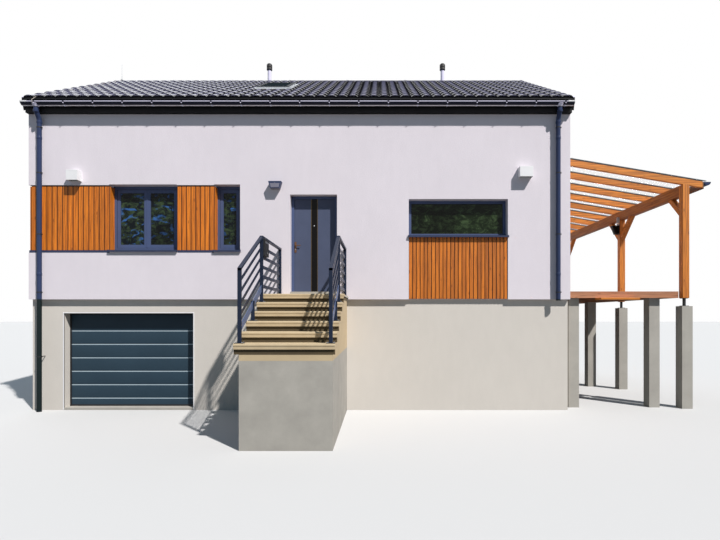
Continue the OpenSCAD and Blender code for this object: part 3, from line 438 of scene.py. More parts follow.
def timber(name, colour, along, tone, pitch, start=0.0, dark=0.8, edge=0.0):
    """Boards or beams with the grain along one axis; along another, each has its own tone and darker edges, a painted
    shade of the gaps between boards.
    """
    def stretch(across, length):
        return tuple(length if axis == along else across for axis in (X, Y, Z))
    made = Finish(name, colour, 0.58)
    fine = made.noise(1.0, 5, stretch(46.0, 1.6), roughness=0.62, distortion=0.4)
    broad = made.noise(1.0, 3, stretch(15.0, 0.55), distortion=1.2)
    made.vary(made.span(fine, 0.38, 0.62), 0.52, warm=0.05)
    made.vary(made.span(broad, 0.35, 0.68), dark + 0.2, warm=0.08)
    made.vary(made.board_tone(tone, start, pitch), dark, warm=0.03)
    if edge:
        # Painted shade: each board darkens along its edges, where the gap beside it lies in shade.
        beside = made.math("PINGPONG", made.math("SUBTRACT", made.part(tone), start), pitch / 2)
        made.vary(made.span(beside, edge - 0.004, edge + 0.004), 0.3, warm=0.1)
    made.vary(made.span(made.cells(1.0, stretch(9.0, 2.6)), 0.05, 0.14), 0.42, warm=0.1)
    made.gloss(fine, 0.62, 0.45)
    made.relief(fine, 0.0012)
    return made


def panes():
    """Dark glass with painted reflections: soft blue patches of sky and green patches of trees, greener in the kitchen
    on the right.
    """
    made = Finish("Window panes", (8, 18, 24), 0.03)
    made.set("IOR", 1.22)
    made.set("Transmission Weight", 0.12)
    right = made.above(X, 1.1, 0.1)
    # Painted reflection: the kitchen's glass on the right turns green.
    made.towards(made.math("MULTIPLY", right, 0.8), (26, 38, 16))
    # Painted reflection of trees: soft green patches.
    tree_reflection = made.noise(5.5, 6, (1.0, 1.0, 1.5), 0.75, 0.8)
    made.towards(made.span(tree_reflection, 0.47, 0.64, 0.0, 0.85), (72, 92, 60))
    # Painted reflection of sky: blue patches, only left of the kitchen.
    sky = made.noise(3.6, 4, (1.0, 1.0, 1.9), 0.6, 1.0)
    sky_reflection = made.math("MULTIPLY", made.span(sky, 0.55, 0.64), made.math("SUBTRACT", 1.0, right))
    made.towards(made.math("MULTIPLY", sky_reflection, 0.85), (58, 108, 176))
    # Darker patches over the whole pane, part of the painted reflection.
    made.vary(made.span(made.noise(1.6, 2, (1.0, 1.0, 0.6)), 0.42, 0.5), 0.4)
    return made


def roof_tiles():
    made = Finish("Roof tile coating", "roof_colour", 0.32, shine=0.4)
    wave = 2 * HALF_W / round(2 * HALF_W / HOUSE.tile_wave)
    from_valley = made.math("PINGPONG", made.math("ADD", made.part(X), HALF_W), wave / 2)
    # Painted light: the crests keep the pale roof colour as a painted highlight, and the valleys between the waves
    # darken to 6 percent as painted shade.
    made.vary(made.span(from_valley, 0.21 * wave, 0.35 * wave), 0.06)
    made.mottle(2.2, 4, 0.82)
    made.gloss(made.noise(5.0, 4), 0.44, 0.3)
    made.relief(made.noise(1100.0, 2), 0.0003)
    return made


def eave_gutter():
    """The gutter's coating, with a pale painted highlight along its lowest line."""
    made = coated("Eave gutter coating", (36, 38, 54), 0.3, 0.0002)
    lowest = GUTTER_RIM - GUTTER_R + 0.005
    # Painted highlight: a nearly white band along the gutter's lowest line.
    made.towards(made.span(made.part(Z), lowest + 0.006, lowest + 0.003), (240, 236, 244))
    return made


def downpipe():
    """The downpipe's coating, darker along the base storey."""
    made = coated("Downpipe coating", (50, 62, 94), 0.3, 0.0002)
    made.towards(made.span(made.part(Z), BASE_Z + 0.01, BASE_Z - 0.01), (26, 36, 38))
    return made


def stone():
    made = Finish("Tread stone", "stone_colour", 0.72)
    made.vary(made.span(made.noise(420.0, 3), 0.35, 0.65), 0.84)
    made.mottle(6.0, 4, 0.88, warm=0.02)
    made.relief(made.noise(300.0, 3), 0.0008)
    return made


def concrete():
    made = Finish("Cast concrete", (176, 172, 164), 0.88)
    made.mottle(2.4, 5, 0.84, roughness=0.65)
    made.vary(made.span(made.cells(55.0), 0.03, 0.12), 0.8)
    made.relief(made.noise(90.0, 4), 0.002)
    return made


def stair_side():
    """Stone cladding on the stair's side down to a level line, and concrete below it."""
    made = concrete()
    made.towards(made.above(Z, LANDING_Z - 1.13), (196, 176, 142))
    made.mottle(3.0, 4, 0.9)
    return made


def garage_metal():
    """The garage door's coating, with fine level ribs."""
    made = Finish("Garage door metal", "garage_colour", 0.42, shine=0.15)
    made.mottle(1.2, 3, 0.88)
    ribs = made.math("SINE", made.math("MULTIPLY", made.part(Z), 2 * math.pi / 0.009))
    made.relief(made.span(ribs, -1.0, 1.0), 0.0009)
    made.gloss(made.noise(6.0, 3), 0.5, 0.36)
    return made


def sheet_plastic():
    """The pergola's milky roof sheet, with fine flutes down the slope."""
    made = Finish("Milky roof sheet", (0.98, 0.98, 1.0, 1.0), 0.4)
    made.set("Transmission Weight", 0.95)
    made.set("IOR", 1.05)
    made.set("Alpha", 0.25)
    flutes = made.math("SINE", made.math("MULTIPLY", made.part(Y), 2 * math.pi / 0.02))
    made.relief(made.span(flutes, -1.0, 1.0), 0.001, 0.6)
    return made


# Cladding boards in each field, and their distance from one to the next
FRONT_COUNT, SIDE_COUNT, MIDDLE_COUNT, KITCHEN_COUNT = 15, 10, 8, 26
FRONT_PITCH = (TWIN[0] - low("cladding_left", X) - BOARD_T) / FRONT_COUNT
SIDE_PITCH = (high("cladding_left", Y) - BOARD_BACK) / SIDE_COUNT
MIDDLE_PITCH = (NARROW[0] - TWIN[1]) / MIDDLE_COUNT
KITCHEN_PITCH = (KITCHEN[1] - KITCHEN[0]) / KITCHEN_COUNT

# Each finish is the function that makes it and that function's values, first its name, colour and roughness. A coated
# one goes on with its grain and shine, and a plain one with its metallic value, pattern scale, relief, darkest tone and
# shine. A timber has no roughness: its grain axis, board axis, board pitch, first board, darkest tone and dark edge,
# the width of the painted shade along each board's sides.
MAKERS = {
    "plaster": (plaster, "White wall plaster", "plaster_colour"),
    "base_plaster": (plaster, "Base storey plaster", "base_colour"),
    "concrete": (concrete,),
    "stair_side": (stair_side,),
    "stone": (stone,),
    "tiles": (roof_tiles,),
    "eave_gutter": (eave_gutter,),
    "pipe": (downpipe,),
    "panes": (panes,),
    "garage": (garage_metal,),
    "sheet": (sheet_plastic,),
    "ridge": (coated, "Ridge coating", (72, 71, 88), 0.4),
    # Near black: a dark board made darker still, partly painted shade under the eave.
    "fascia": (coated, "Black eave board", (13, 14, 19), 0.6, 0.0004, 0.2),
    # A pale coating for parts of dark metal, standing in for their highlight: painted highlight.
    "bead": (coated, "Worn bead coating", (232, 228, 250), 0.35, 0.0002),
    "batten": (coated, "White glazing bar", (214, 218, 220), 0.42),
    "frame": (coated, "Window frame coating", "frame_colour", 0.42),
    "sash": (coated, "Window sash coating", "frame_colour", 0.36),
    "sill": (coated, "Sill coating", (58, 66, 92), 0.32),
    "casing": (coated, "Roof window casing", (24, 27, 34), 0.6),
    "door": (coated, "Door leaf coating", (80, 88, 112), 0.48),
    # Pale slant under the garage door's grooves: painted highlight.
    "garage_edge": (coated, "Garage door edge", (160, 176, 186), 0.4),
    "railing": (coated, "Railing coating", "railing_colour", 0.34),
    # A lighter copy of the railing colour for its low plate: painted sunlight.
    "rail_plate": (coated, "Railing plate coating", (92, 106, 140), 0.34),
    # Near black for the upright steps of the tile courses: painted shade.
    "tile_edge": (plain, "Tile edge", (14, 13, 20), 0.8, 0.0, 60.0, 0.0005, 0.9, 0.0),
    "flashing": (plain, "Aluminium flashing", (172, 176, 180), 0.5, 0.0, 40.0, 0.0006),
    "roof_pane": (plain, "Roof window glass", (30, 38, 42), 0.9, 0.0, 60.0, 0.0005, 0.9, 0.0),
    "wire": (plain, "Wire", (190, 180, 168), 0.5),
    "riser": (plain, "Riser in shade", (82, 70, 48), 0.9, 0.0, 30.0, 0.001, 0.8),
    "seal": (plain, "Rubber seal", (18, 18, 20), 0.7),
    "spacer": (plain, "Glass spacer", (150, 152, 156), 0.35, 0.9),
    "strip": (plain, "Door strip glass", (16, 14, 14), 0.06, 0.0, 4.0, 0.0001, 0.9, 0.1),
    "strip_edge": (plain, "Dark bronze edge", (92, 74, 40), 0.35, 0.5, 60.0, 0.0002),
    "bronze": (plain, "Satin bronze", (104, 70, 42), 0.45, 0.0, 90.0, 0.0002),
    "steel": (plain, "Galvanised steel", (168, 172, 178), 0.38, 0.9, 50.0, 0.0003),
    "hood": (plain, "White painted hood", (236, 236, 238), 0.5, 0.0, 60.0, 0.0003, 0.95),
    "lamp_glass": (plain, "Lamp glass", (118, 117, 132), 0.3, 0.0, 40.0, 0.0003, 0.94),
    "black": (plain, "Matt black metal", (26, 27, 30), 0.5),
    "boards_front": (timber, "Cladding boards", "board_colour", Z, X, FRONT_PITCH, TWIN[0], 0.78, 0.012),
    "boards_middle": (timber, "Middle cladding boards", "board_colour", Z, X, MIDDLE_PITCH, TWIN[1], 0.82, 0.012),
    "boards_kitchen": (timber, "Kitchen cladding boards", "board_colour", Z, X, KITCHEN_PITCH, KITCHEN[0], 0.66, 0.009),
    "boards_side": (timber, "Side cladding boards", "board_colour", Z, Y, SIDE_PITCH, BOARD_BACK, 0.78, 0.012),
    "rafter": (timber, "Rafter timber", "pergola_colour", X, Y, RAFTER_SPACING, -4.0),
    "post": (timber, "Post timber", "pergola_colour", Z, Y, 1.1),
    # A darker copy of the pergola's timber for the beam, ledger and joists: painted shade.
    "beam": (timber, "Beam timber", (186, 116, 44), Y, Z, 1.0),
    "brace": (timber, "Brace timber", "pergola_colour", Y, Z, 1.0),
    "side_board": (timber, "Side board timber", (112, 74, 46), Y, Z, 1.0),
    "deck": (timber, "Deck boards", (224, 160, 122), X, Y, DECK_PITCH, -3.26, 0.7),
    "roof_timber": (timber, "Roof timber", (170, 140, 104), X, Y, 0.2, 0.0, 0.7),
}
FINISHES = {}


def finish(name):
    """A finish by its name, made at its first use."""
    if name not in FINISHES:
        make, *values = MAKERS[name]
        FINISHES[name] = make(*values).material
    return FINISHES[name]


# Sizes and colours that a user would change

def length_setting(name, description, default, smallest, largest):
    return bpy.props.FloatProperty(name=name, description=description, default=default, min=smallest, max=largest,
                                   unit="LENGTH")


def colour_setting(name, description, *screen_colour):
    return bpy.props.FloatVectorProperty(name=name, description=description, default=screen(*screen_colour), size=4,
                                         subtype="COLOR")


class HouseSettings(bpy.types.PropertyGroup):
    tile_wave: length_setting("Tile wave", "Distance between the waves of the metal roof tiles", 0.236, 0.1, 0.4)
    tile_course: length_setting("Tile course", "Length of one course of the metal roof tiles", 0.366, 0.2, 0.6)
    tile_height: length_setting("Tile height", "Height of the waves of the metal roof tiles", 0.044, 0.01, 0.06)
    bracket_pitch: length_setting("Bracket distance", "Distance between the gutter brackets", 0.641, 0.3, 1.2)
    board_gap: length_setting("Board gap", "Gap between the cladding boards", 0.010, 0.002, 0.02)
    plaster_colour: colour_setting("Plaster", "Colour of the main storey's plaster", 228, 221, 228)
    base_colour: colour_setting("Base plaster", "Colour of the garage storey's plaster", 214, 208, 200)
    roof_colour: colour_setting("Roof", "Colour of the metal roof tiles", 140, 139, 160)
    frame_colour: colour_setting("Frames", "Colour of the window and door frames", 78, 91, 126)
    board_colour: colour_setting("Cladding", "Colour of the lightest cladding boards", 240, 138, 34)
    pergola_colour: colour_setting("Pergola", "Colour of the pergola's lightest timber", 236, 148, 54)
    railing_colour: colour_setting("Railings", "Colour of the stair railings", 34, 43, 62)
    stone_colour: colour_setting("Treads", "Colour of the stair's stone", 202, 182, 148)
    garage_colour: colour_setting("Garage door", "Colour of the garage door", 44, 62, 75)


# Roof

def tile_part(wave, course, height):
    """One wave of one course of the metal tiles, on its back at the origin: x across, y down the slope."""
    part = Shape()
    steps = 10
    lift = 0.026
    profile = []
    for i in range(steps + 1):
        t = i / steps
        profile.append((t * wave, height * abs(math.sin(math.pi * t)) ** 0.7))
    rows = [(0.0, 0.0), (course, lift), (course, 0.0)]
    corners = [(x, y, z + up) for y, up in rows for x, z in profile]
    n = steps + 1
    faces = [(r * n + i, (r + 1) * n + i, (r + 1) * n + i + 1, r * n + i + 1)
             for r in range(2) for i in range(steps)]
    part.add(corners, faces)
    return part


def tiled_slope(name, node, is_front):
    """The metal tile skin of one slope."""
    waves = round(2 * HALF_W / HOUSE.tile_wave)
    wave = 2 * HALF_W / waves
    slope_length = -EAVE_Y / math.cos(PITCH)
    courses = round(slope_length / HOUSE.tile_course)
    course = slope_length / courses
    part = tile_part(wave, course, HOUSE.tile_height)
    mesh = rows_of(part, waves, (wave, 0, 0), "tiles", courses, (0, course, 0))
    mesh.name = name
    mesh.materials.append(finish("tile_edge"))
    work = bmesh.new()
    work.from_mesh(mesh)
    bmesh.ops.remove_doubles(work, verts=work.verts, dist=0.0002)
    for face in work.faces:
        face.normal_update()
        # Faces that stand nearly upright, the steps between the courses, take the second finish, near black: painted
        # shade.
        if abs(face.normal.z) < 0.2:
            face.material_index = 1
    sink = 0.02
    work.transform(Matrix.Translation((-HALF_W, 0, RIDGE_Z)) @ Matrix.Rotation(-PITCH, 4, "X")
                   @ Matrix.Translation((0, 0, -sink)))
    if is_front:
        bmesh.ops.delete(work, geom=[v for v in work.verts if in_roof_window(v.co)], context="VERTS")
        for v in work.verts:
            v.co.y = -v.co.y
        bmesh.ops.reverse_faces(work, faces=work.faces)
    work.to_mesh(mesh)
    work.free()
    obj = smooth_object(name, mesh, 40)
    thick = obj.modifiers.new("Sheet thickness", "SOLIDIFY")
    thick.thickness = 0.004
    thick.offset = -1.0
    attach(obj, "house")
    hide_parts(node)


def in_roof_window(place):
    """True inside the roof window's casing; place is on the slope that falls towards +Y."""
    a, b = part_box("roof_window_glass")
    edge = 0.05
    return a[X] - edge < place.x < b[X] + edge and -b[Y] - edge < place.y < -a[Y] + edge


class BuildRoof(bpy.types.Operator):
    """Builds the metal tiles, the ridge cap, the verges and the eave boards"""
    bl_idname = "house.build_roof"
    bl_label = "Roof"

    def execute(self, context):
        tiled_slope("roof_tiles_front", "roof_skin_front", True)
        tiled_slope("roof_tiles_back", "roof_skin_back", False)
        ridge_cap()
        verges()
        eaves()
        return {"FINISHED"}


def ridge_cap():
    """Overlapping bent caps along the ridge, closed by an end disc."""
    count = 7
    length = 2 * HALF_W / count
    reach = 0.13
    half = [(reach, skin_z(reach) + 0.004), (reach - 0.012, skin_z(reach) + 0.022), (0.06, skin_z(0.06) + 0.026),
            (0.03, RIDGE_Z + 0.018)]
    outline = [(-y, z) for y, z in half] + [(0, RIDGE_Z + 0.026)] + half[::-1] + [(0, RIDGE_Z)]
    lap = [(y * 1.02, z + 0.007) for y, z in outline[:-1]] + [(0, RIDGE_Z)]
    part = Shape()
    part.prism(outline, X, -HALF_W, -HALF_W + length - 0.001)
    part.prism(lap, X, -HALF_W + length - 0.07, -HALF_W + length - 0.002)
    shape = Shape()
    shape.repeat(part, count, (length, 0, 0), "ridge")
    piece("ridge_cap_metal", shape, "ridge", "ridge_cap", 0.002)


def verges():
    """Folded verge trims with a raised top fold."""
    shape = Shape()
    end, fascia = -EAVE_Y, -FASCIA_Y
    drop = 0.3
    half = [(end, skin_z(end)), (end, skin_z(end) - SKIN_T), (fascia, skin_z(fascia) - drop)]
    outline = [(0, RIDGE_Z)] + half + [(0, RIDGE_Z - drop)] + [(-y, z) for y, z in half[::-1]]
    for side in (-1, 1):
        shape.prism(outline, X, *sorted((side * HALF_W, side * VERGE_X)))
        fold = sorted((side * (HALF_W + 0.0005), side * VERGE_X))
        for turn in (-1, 1):
            # The raised fold takes the pale bead coating: a painted highlight along the dark trim.
            shape.prism([(0, RIDGE_Z - 0.01), (turn * end, skin_z(end) - 0.01), (turn * end, skin_z(end) + 0.012),
                         (0, RIDGE_Z + 0.012)], X, *fold, 1)
    piece("verge_metal", shape, "fascia bead", "verge_trims", 0.004)


def eaves():
    """The fascia and the soffit, front and back, and a dark comb that closes the ends of the tile waves."""
    shape = Shape()
    t = 0.022
    inner = FASCIA_Y + t
    top = skin_z(FASCIA_Y) - SKIN_T - 0.001
    comb_z = skin_z(EAVE_Y)
    for _ in front_and_back(shape):
        # The fascia, soffit and comb take the near-black eave coating, a dark board darkened further as painted shade.
        shape.prism([(FRONT, SOFFIT_Z), (FASCIA_Y, SOFFIT_Z), (FASCIA_Y, top), (inner, top + 0.01),
                     (inner, SOFFIT_Z + t), (FRONT, SOFFIT_Z + t)], X, -HALF_W, HALF_W)
        shape.block((-HALF_W, EAVE_Y + 0.012, comb_z - SKIN_T), (HALF_W, EAVE_Y + 0.02, comb_z + 0.012))
        shape.block((-HALF_W, FASCIA_Y - 0.004, SOFFIT_Z), (HALF_W, FASCIA_Y, SOFFIT_Z + 0.02))
    piece("eave_boards_folded", shape, "fascia", "eave_boards", 0.003)


# Rainwater

def half_disc(r, x, z, steps=14):
    """The outline of the lower half of a disc about a centre."""
    return [(x + r * math.cos(a), z + r * math.sin(a)) for a in
            (math.pi + math.pi * i / steps for i in range(steps + 1))]


def half_shell(r, t, x, z):
    """The outline of a half-round gutter of thickness t about the centre of its rim."""
    return half_disc(r, x, z) + half_disc(r - t, x, z)[::-1]


class BuildRainwater(bpy.types.Operator):
    """Builds the gutters with their brackets, and the downpipes with their bends and bands"""
    bl_idname = "house.build_rainwater"
    bl_label = "Gutters and downpipes"

    def execute(self, context):
        build_gutters()
        build_downpipes()
        return {"FINISHED"}


def build_gutters():
    shape = Shape()
    r = GUTTER_R - 0.005
    centre_y = FASCIA_Y - GUTTER_R
    foot = GUTTER_RIM - r
    ends = HALF_W - 0.004
    bead = 0.022
    bead_y, bead_z = centre_y - r + bead, GUTTER_RIM - 0.014
    sleeve = 0.14
    strap, tip = Shape(), Shape()
    strap.prism(half_shell(r + 0.005, 0.0055, centre_y, GUTTER_RIM), X, -0.015, 0.015)
    strap.block((-0.015, FASCIA_Y - 0.008, GUTTER_RIM - 0.05), (0.015, FASCIA_Y - 0.0005, GUTTER_RIM + 0.03))
    tip.prism([(-0.022, foot + 0.006), (0, foot - 0.02), (0.022, foot + 0.006)], Y, centre_y - 0.04, centre_y - 0.01)
    tip.turned((0, centre_y, GUTTER_RIM - 0.05), [(0.011, -r - 0.003), (0.008, -r + 0.02)], Y, 10)
    pitch = HOUSE.bracket_pitch
    count = int(2 * ends / pitch) + 1
    for part in (strap, tip):
        part.move(0.05 - (count - 1) * pitch / 2)
    for _ in front_and_back(shape):
        shape.prism(half_shell(r, 0.003, centre_y, GUTTER_RIM), X, -ends, ends)
        # The gutter's front bead takes the pale bead coating: a painted highlight on the dark gutter.
        shape.tube([(-ends, bead_y, bead_z), (ends, bead_y, bead_z)], bead, 14, 1)
        for x in (-ends, ends - sleeve):
            shape.tube([(x, bead_y, bead_z), (x + sleeve, bead_y, bead_z)], bead + 0.002, 14, 2)
        for x in (-ends, ends):
            shape.prism(half_disc(r * 1.01, centre_y, GUTTER_RIM), X, x - 0.003, x + 0.003)
        shape.repeat(strap, count, (pitch, 0, 0), "eave_gutter")
        # The bracket tips take the pale bead coating too: a painted highlight.
        shape.repeat(tip, count, (pitch, 0, 0), "bead", 1)
    piece("gutters_with_brackets", shape, "eave_gutter bead hood", "gutters")


def smooth_path(points, cut=0.05, steps=5):
    """A path of straight runs with rounded corners."""
    points = [Vector(p) for p in points]
    path = [points[0]]
    for before, corner, after in zip(points, points[1:], points[2:]):
        a = corner + (before - corner).normalized() * cut
        b = corner + (after - corner).normalized() * cut
        for i in range(steps + 1):
            t = i / steps
            path.append(a.lerp(corner, t).lerp(corner.lerp(b, t), t))
    path.append(points[-1])
    return path


def build_downpipes():
    shape = Shape()
    r = PIPE_R
    pipe_y = FRONT - 0.04 - r
    gutter_y = FASCIA_Y - GUTTER_R
    outlet = GUTTER_RIM - GUTTER_R - 0.1
    cone = outlet + 0.088
    shoulder = SOFFIT_Z - 0.15

    def band(x, y, z, height, foot, rise, taper, mark=0):
        """A collar round the pipe; foot and rise are how far it stands off the pipe, at its foot and above."""
        shape.turned((x, y, z), [(r + foot, 0), (r + rise, taper), (r + rise, height - taper), (r + 0.001, height)],
                     Z, 20, mark)

    for is_front in front_and_back(shape):
        for x in (-PIPE_X, PIPE_X):
            on_low_ground = (x < 0) == is_front
            foot = 0.0 if on_low_ground else BASE_Z - 0.03
            shape.tube(smooth_path([(x, pipe_y, foot), (x, pipe_y, shoulder), (x, gutter_y, outlet),
                                    (x, gutter_y, outlet + 0.115)], 0.055), r, 20)
            shape.turned((x, gutter_y, cone), [(r + 0.002, 0), (r + 0.006, 0.012), (0.086, 0.05), (0.086, 0.054)],
                         Z, 24, 2)
            shape.turned((x, gutter_y, cone - 0.014), [(r + 0.004, 0), (r + 0.004, 0.014)], Z, 20, 1)
            band(x, pipe_y, shoulder - 0.09, 0.056, 0.004, 0.006, 0.006)
            band(x, gutter_y, outlet - 0.03, 0.056, 0.004, 0.006, 0.006)
            for z in (3.0, 6.0):
                if foot < z:
                    band(x, pipe_y, z, 0.065, 0.001, 0.004, 0.005)
            for z in (2.62, 3.9, 5.25, 6.25, 1.2):
                if foot < z:
                    band(x, pipe_y, z, 0.025, 0.001, 0.005, 0.001, 1)
                    wall = FRONT + (0.1 if z < BASE_Z else 0.0)
                    shape.block((x - 0.006, pipe_y, z + 0.004), (x + 0.006, wall, z + 0.02), 1)
                    shape.block((x + r, pipe_y - 0.012, z), (x + r + 0.018, pipe_y + 0.012, z + 0.025), 1)
    piece("downpipes_with_bands", shape, "pipe black bead", "downpipes")


# Main storey's openings

def window(shape, x0, x1, z0, z1, sashes):
    """A window in the front wall's plane: frame, sashes, seals and panes; with no sash, the pane is in the frame."""
    y = WIN_Y
    back = y + 0.08
    seal = 0.004
    w = 0.07
    sash_w, bead_w = 0.062, 0.013
    shape.frame(x0, x1, z0, z1, w - seal, y, back)
    shape.frame(x0 + w - seal, x1 - w + seal, z0 + w - seal, z1 - w + seal, seal, y + 0.010, back - 0.01, 2)
    if sashes == 0:
        glazed(shape, x0 + w, x1 - w, z0 + w, z1 - w, y + 0.012, back)
        return
    step = (x1 - x0 - 2 * w) / sashes
    low_z, high_z = z0 + w, z1 - w
    gap = 0.002
    for i in range(sashes):
        a = x0 + w + i * step
        b = a + step
        shape.frame(a + gap, b - gap, low_z + gap, high_z - gap, sash_w, y + 0.012, back + 0.01, 1)
        e = gap + sash_w
        shape.frame(a + e, b - e, low_z + e, high_z - e, bead_w, y + 0.02, back - 0.005, 1)
        e += bead_w
        glazed(shape, a + e, b - e, low_z + e, high_z - e, y + 0.024, back)
    if sashes == 2:
        m = (x0 + x1) / 2
        shape.block((m - 0.016, y + 0.004, low_z + 0.01), (m + 0.016, y + 0.014, high_z - 0.01), 1)


def glazed(shape, x0, x1, z0, z1, y, back):
    """A glass unit with its seal and the spacer between its two panes."""
    seal = 0.005
    shape.frame(x0, x1, z0, z1, seal, y, back - 0.012, 2)
    a, b, c, d = x0 + seal, x1 - seal, z0 + seal, z1 - seal
    shape.frame(a, b, c, d, 0.012, y + 0.012, y + 0.026, 4)
    for depth in (0.004, 0.028):
        shape.block((a, y + depth, c), (b, y + depth + 0.006, d), 3)


def sill(shape, x0, x1, z):
    """A bent metal sill with a fall to the front, a lip and upstands at its ends."""
    edge = FRONT - 0.05
    side = 0.015
    shape.prism([(edge, z - 0.008), (WIN_Y, z - 0.002), (WIN_Y, z), (edge, z - 0.004)], X, x0, x1)
    shape.prism([(edge, z - 0.045), (edge + 0.003, z - 0.045), (edge + 0.003, z - 0.010), (FRONT, z - 0.006),
                 (FRONT, z - 0.003), (edge, z - 0.004)], X, x0 - side, x1 + side)
    for a in (x0 - side, x1 + side - 0.004):
        shape.prism([(edge, z - 0.045), (FRONT, z - 0.045), (FRONT, z + 0.012), (edge, z + 0.004)], X, a, a + 0.004)


def hidden_wall_places():
    """Matrices that carry a window of the front wall's plane to the hidden walls."""
    for x in (-3.8, 0.0, 3.8):
        yield Matrix.Rotation(math.pi, 4, "Z") @ Matrix.Translation((-x, 0, 0))
    yield Matrix.Translation((HALF_W + FRONT, 0, 0)) @ Matrix.Rotation(math.pi / 2, 4, "Z")


class BuildWindows(bpy.types.Operator):
    """Builds the windows and their sills on the front, the back and the right gable"""
    bl_idname = "house.build_windows"
    bl_label = "Windows"

    def execute(self, context):
        frames, sills = Shape(), Shape()
        kitchen_low = high("cladding_kitchen", Z) + 0.008
        twin, narrow = (*TWIN, WIN_LOW, WIN_TOP, 2), (*NARROW, WIN_LOW, WIN_TOP, 1)
        for x0, x1, z0, z1, sashes in (twin, narrow, (*KITCHEN, kitchen_low, kitchen_low + 0.81, 0)):
            window(frames, x0, x1, z0, z1, sashes)
            sill(sills, x0, x1, z0)
        for place in hidden_wall_places():
            frames.place = sills.place = place
            window(frames, -0.75, 0.75, WIN_LOW, WIN_TOP, 2)
            sill(sills, -0.75, 0.75, WIN_LOW)
        piece("windows", frames, "frame sash seal panes spacer", "window_frames window_glass", 0.0015)
        piece("window_sill_sheets", sills, "sill", "window_sills", 0.0012)
        return {"FINISHED"}


# Cladding

# The gap over the boards and the height of the metal strip under them; the black backing that shows in the gap is
# painted shade
TOP_GAP = 0.028
STRIP_H = 0.06


def boards(shape, x0, x1, z0, z1, count, finish_name):
    """Upright boards with eased front edges, side by side."""
    pitch = (x1 - x0) / count
    width = pitch - HOUSE.board_gap
    ease = 0.004
    part = Shape()
    part.prism([(0, 0), (0, ease - BOARD_T), (ease, -BOARD_T), (width - ease, -BOARD_T), (width, ease - BOARD_T),
                (width, 0)], Z, z0, z1)
    part.move(x0 + HOUSE.board_gap / 2, BOARD_BACK)
    shape.repeat(part, count, (pitch, 0, 0), finish_name)


def reveal_board(shape, x, z1):
    """The board that lines a window's side."""
    shape.block((x + 0.0005, BOARD_BACK - 0.018, WIN_LOW + 0.001), (x + 0.018, WIN_Y - 0.001, z1 - TOP_GAP))


class BuildCladding(bpy.types.Operator):
    """Builds the timber boards of the three fields with their metal strips"""
    bl_idname = "house.build_cladding"
    bl_label = "Timber cladding"

    def execute(self, context):
        z0, z1 = low("cladding_left", Z), high("cladding_left", Z)
        foot, top = z0 + STRIP_H, z1 - TOP_GAP
        back = BOARD_BACK + 0.005
        strip_y, strip_z = FRONT + 0.004, foot - 0.004
        self.left_field(z0, z1, foot, top, back, strip_y, strip_z)
        shape = Shape()
        a, b = TWIN[1], NARROW[0]
        boards(shape, a, b, foot, top, MIDDLE_COUNT, "boards_middle")
        # Black backing behind the boards, which shows in the gaps: painted shade.
        shape.block((a, BOARD_BACK, foot), (b, back, z1), 1)
        reveal_board(shape, b, z1)
        shape.block((a + 0.016, strip_y, z0), (b - 0.016, back, strip_z), 2)
        piece("cladding_middle_boards", shape, "boards_middle black sill", "cladding_middle", 0.0015)
        shape = Shape()
        a, b = KITCHEN
        foot, z1 = low("cladding_kitchen", Z) + 0.012, high("cladding_kitchen", Z)
        boards(shape, a, b, foot, z1 - 0.004, KITCHEN_COUNT, "boards_kitchen")
        # Black backing behind the boards, which shows in the gaps: painted shade.
        shape.block((a, BOARD_BACK, foot), (b, back, z1), 1)
        piece("cladding_kitchen_boards", shape, "boards_kitchen black", "cladding_kitchen", 0.0015)
        return {"FINISHED"}

    def left_field(self, z0, z1, foot, top, back, strip_y, strip_z):
        """The field on the front's left end, which turns the corner."""
        shape = Shape()
        x0, end = low("cladding_left", X), high("cladding_left", Y)
        x1 = x0 + BOARD_T
        boards(shape, x1, TWIN[0], foot, top, FRONT_COUNT, "boards_front")
        # Black backing behind the front boards and along the side, which shows in the gaps: painted shade.
        shape.block((x1, BOARD_BACK, foot), (TWIN[0], back, z1), 2)
        half_gap = HOUSE.board_gap / 2
        part = Shape()
        part.block((x0, BOARD_BACK + half_gap, foot), (x1, BOARD_BACK + SIDE_PITCH - half_gap, top))
        shape.repeat(part, SIDE_COUNT, (0, SIDE_PITCH, 0), "boards_side", 1)
        shape.block((x1, BOARD_BACK, foot), (x1 + 0.005, end, z1), 2)
        shape.block((x0, BOARD_BACK - BOARD_T, foot), (x1 - 0.0005, BOARD_BACK - 0.0005, top))
        shape.block((x0 - 0.012, strip_y, z0), (TWIN[0] - 0.016, back, strip_z), 3)
        shape.block((x0 - 0.012, back, z0), (x1, end, strip_z), 3)
        reveal_board(shape, TWIN[0], z1)
        piece("cladding_left_boards", shape, "boards_front boards_side black sill", "cladding_left",
              0.0015)


# Entry door

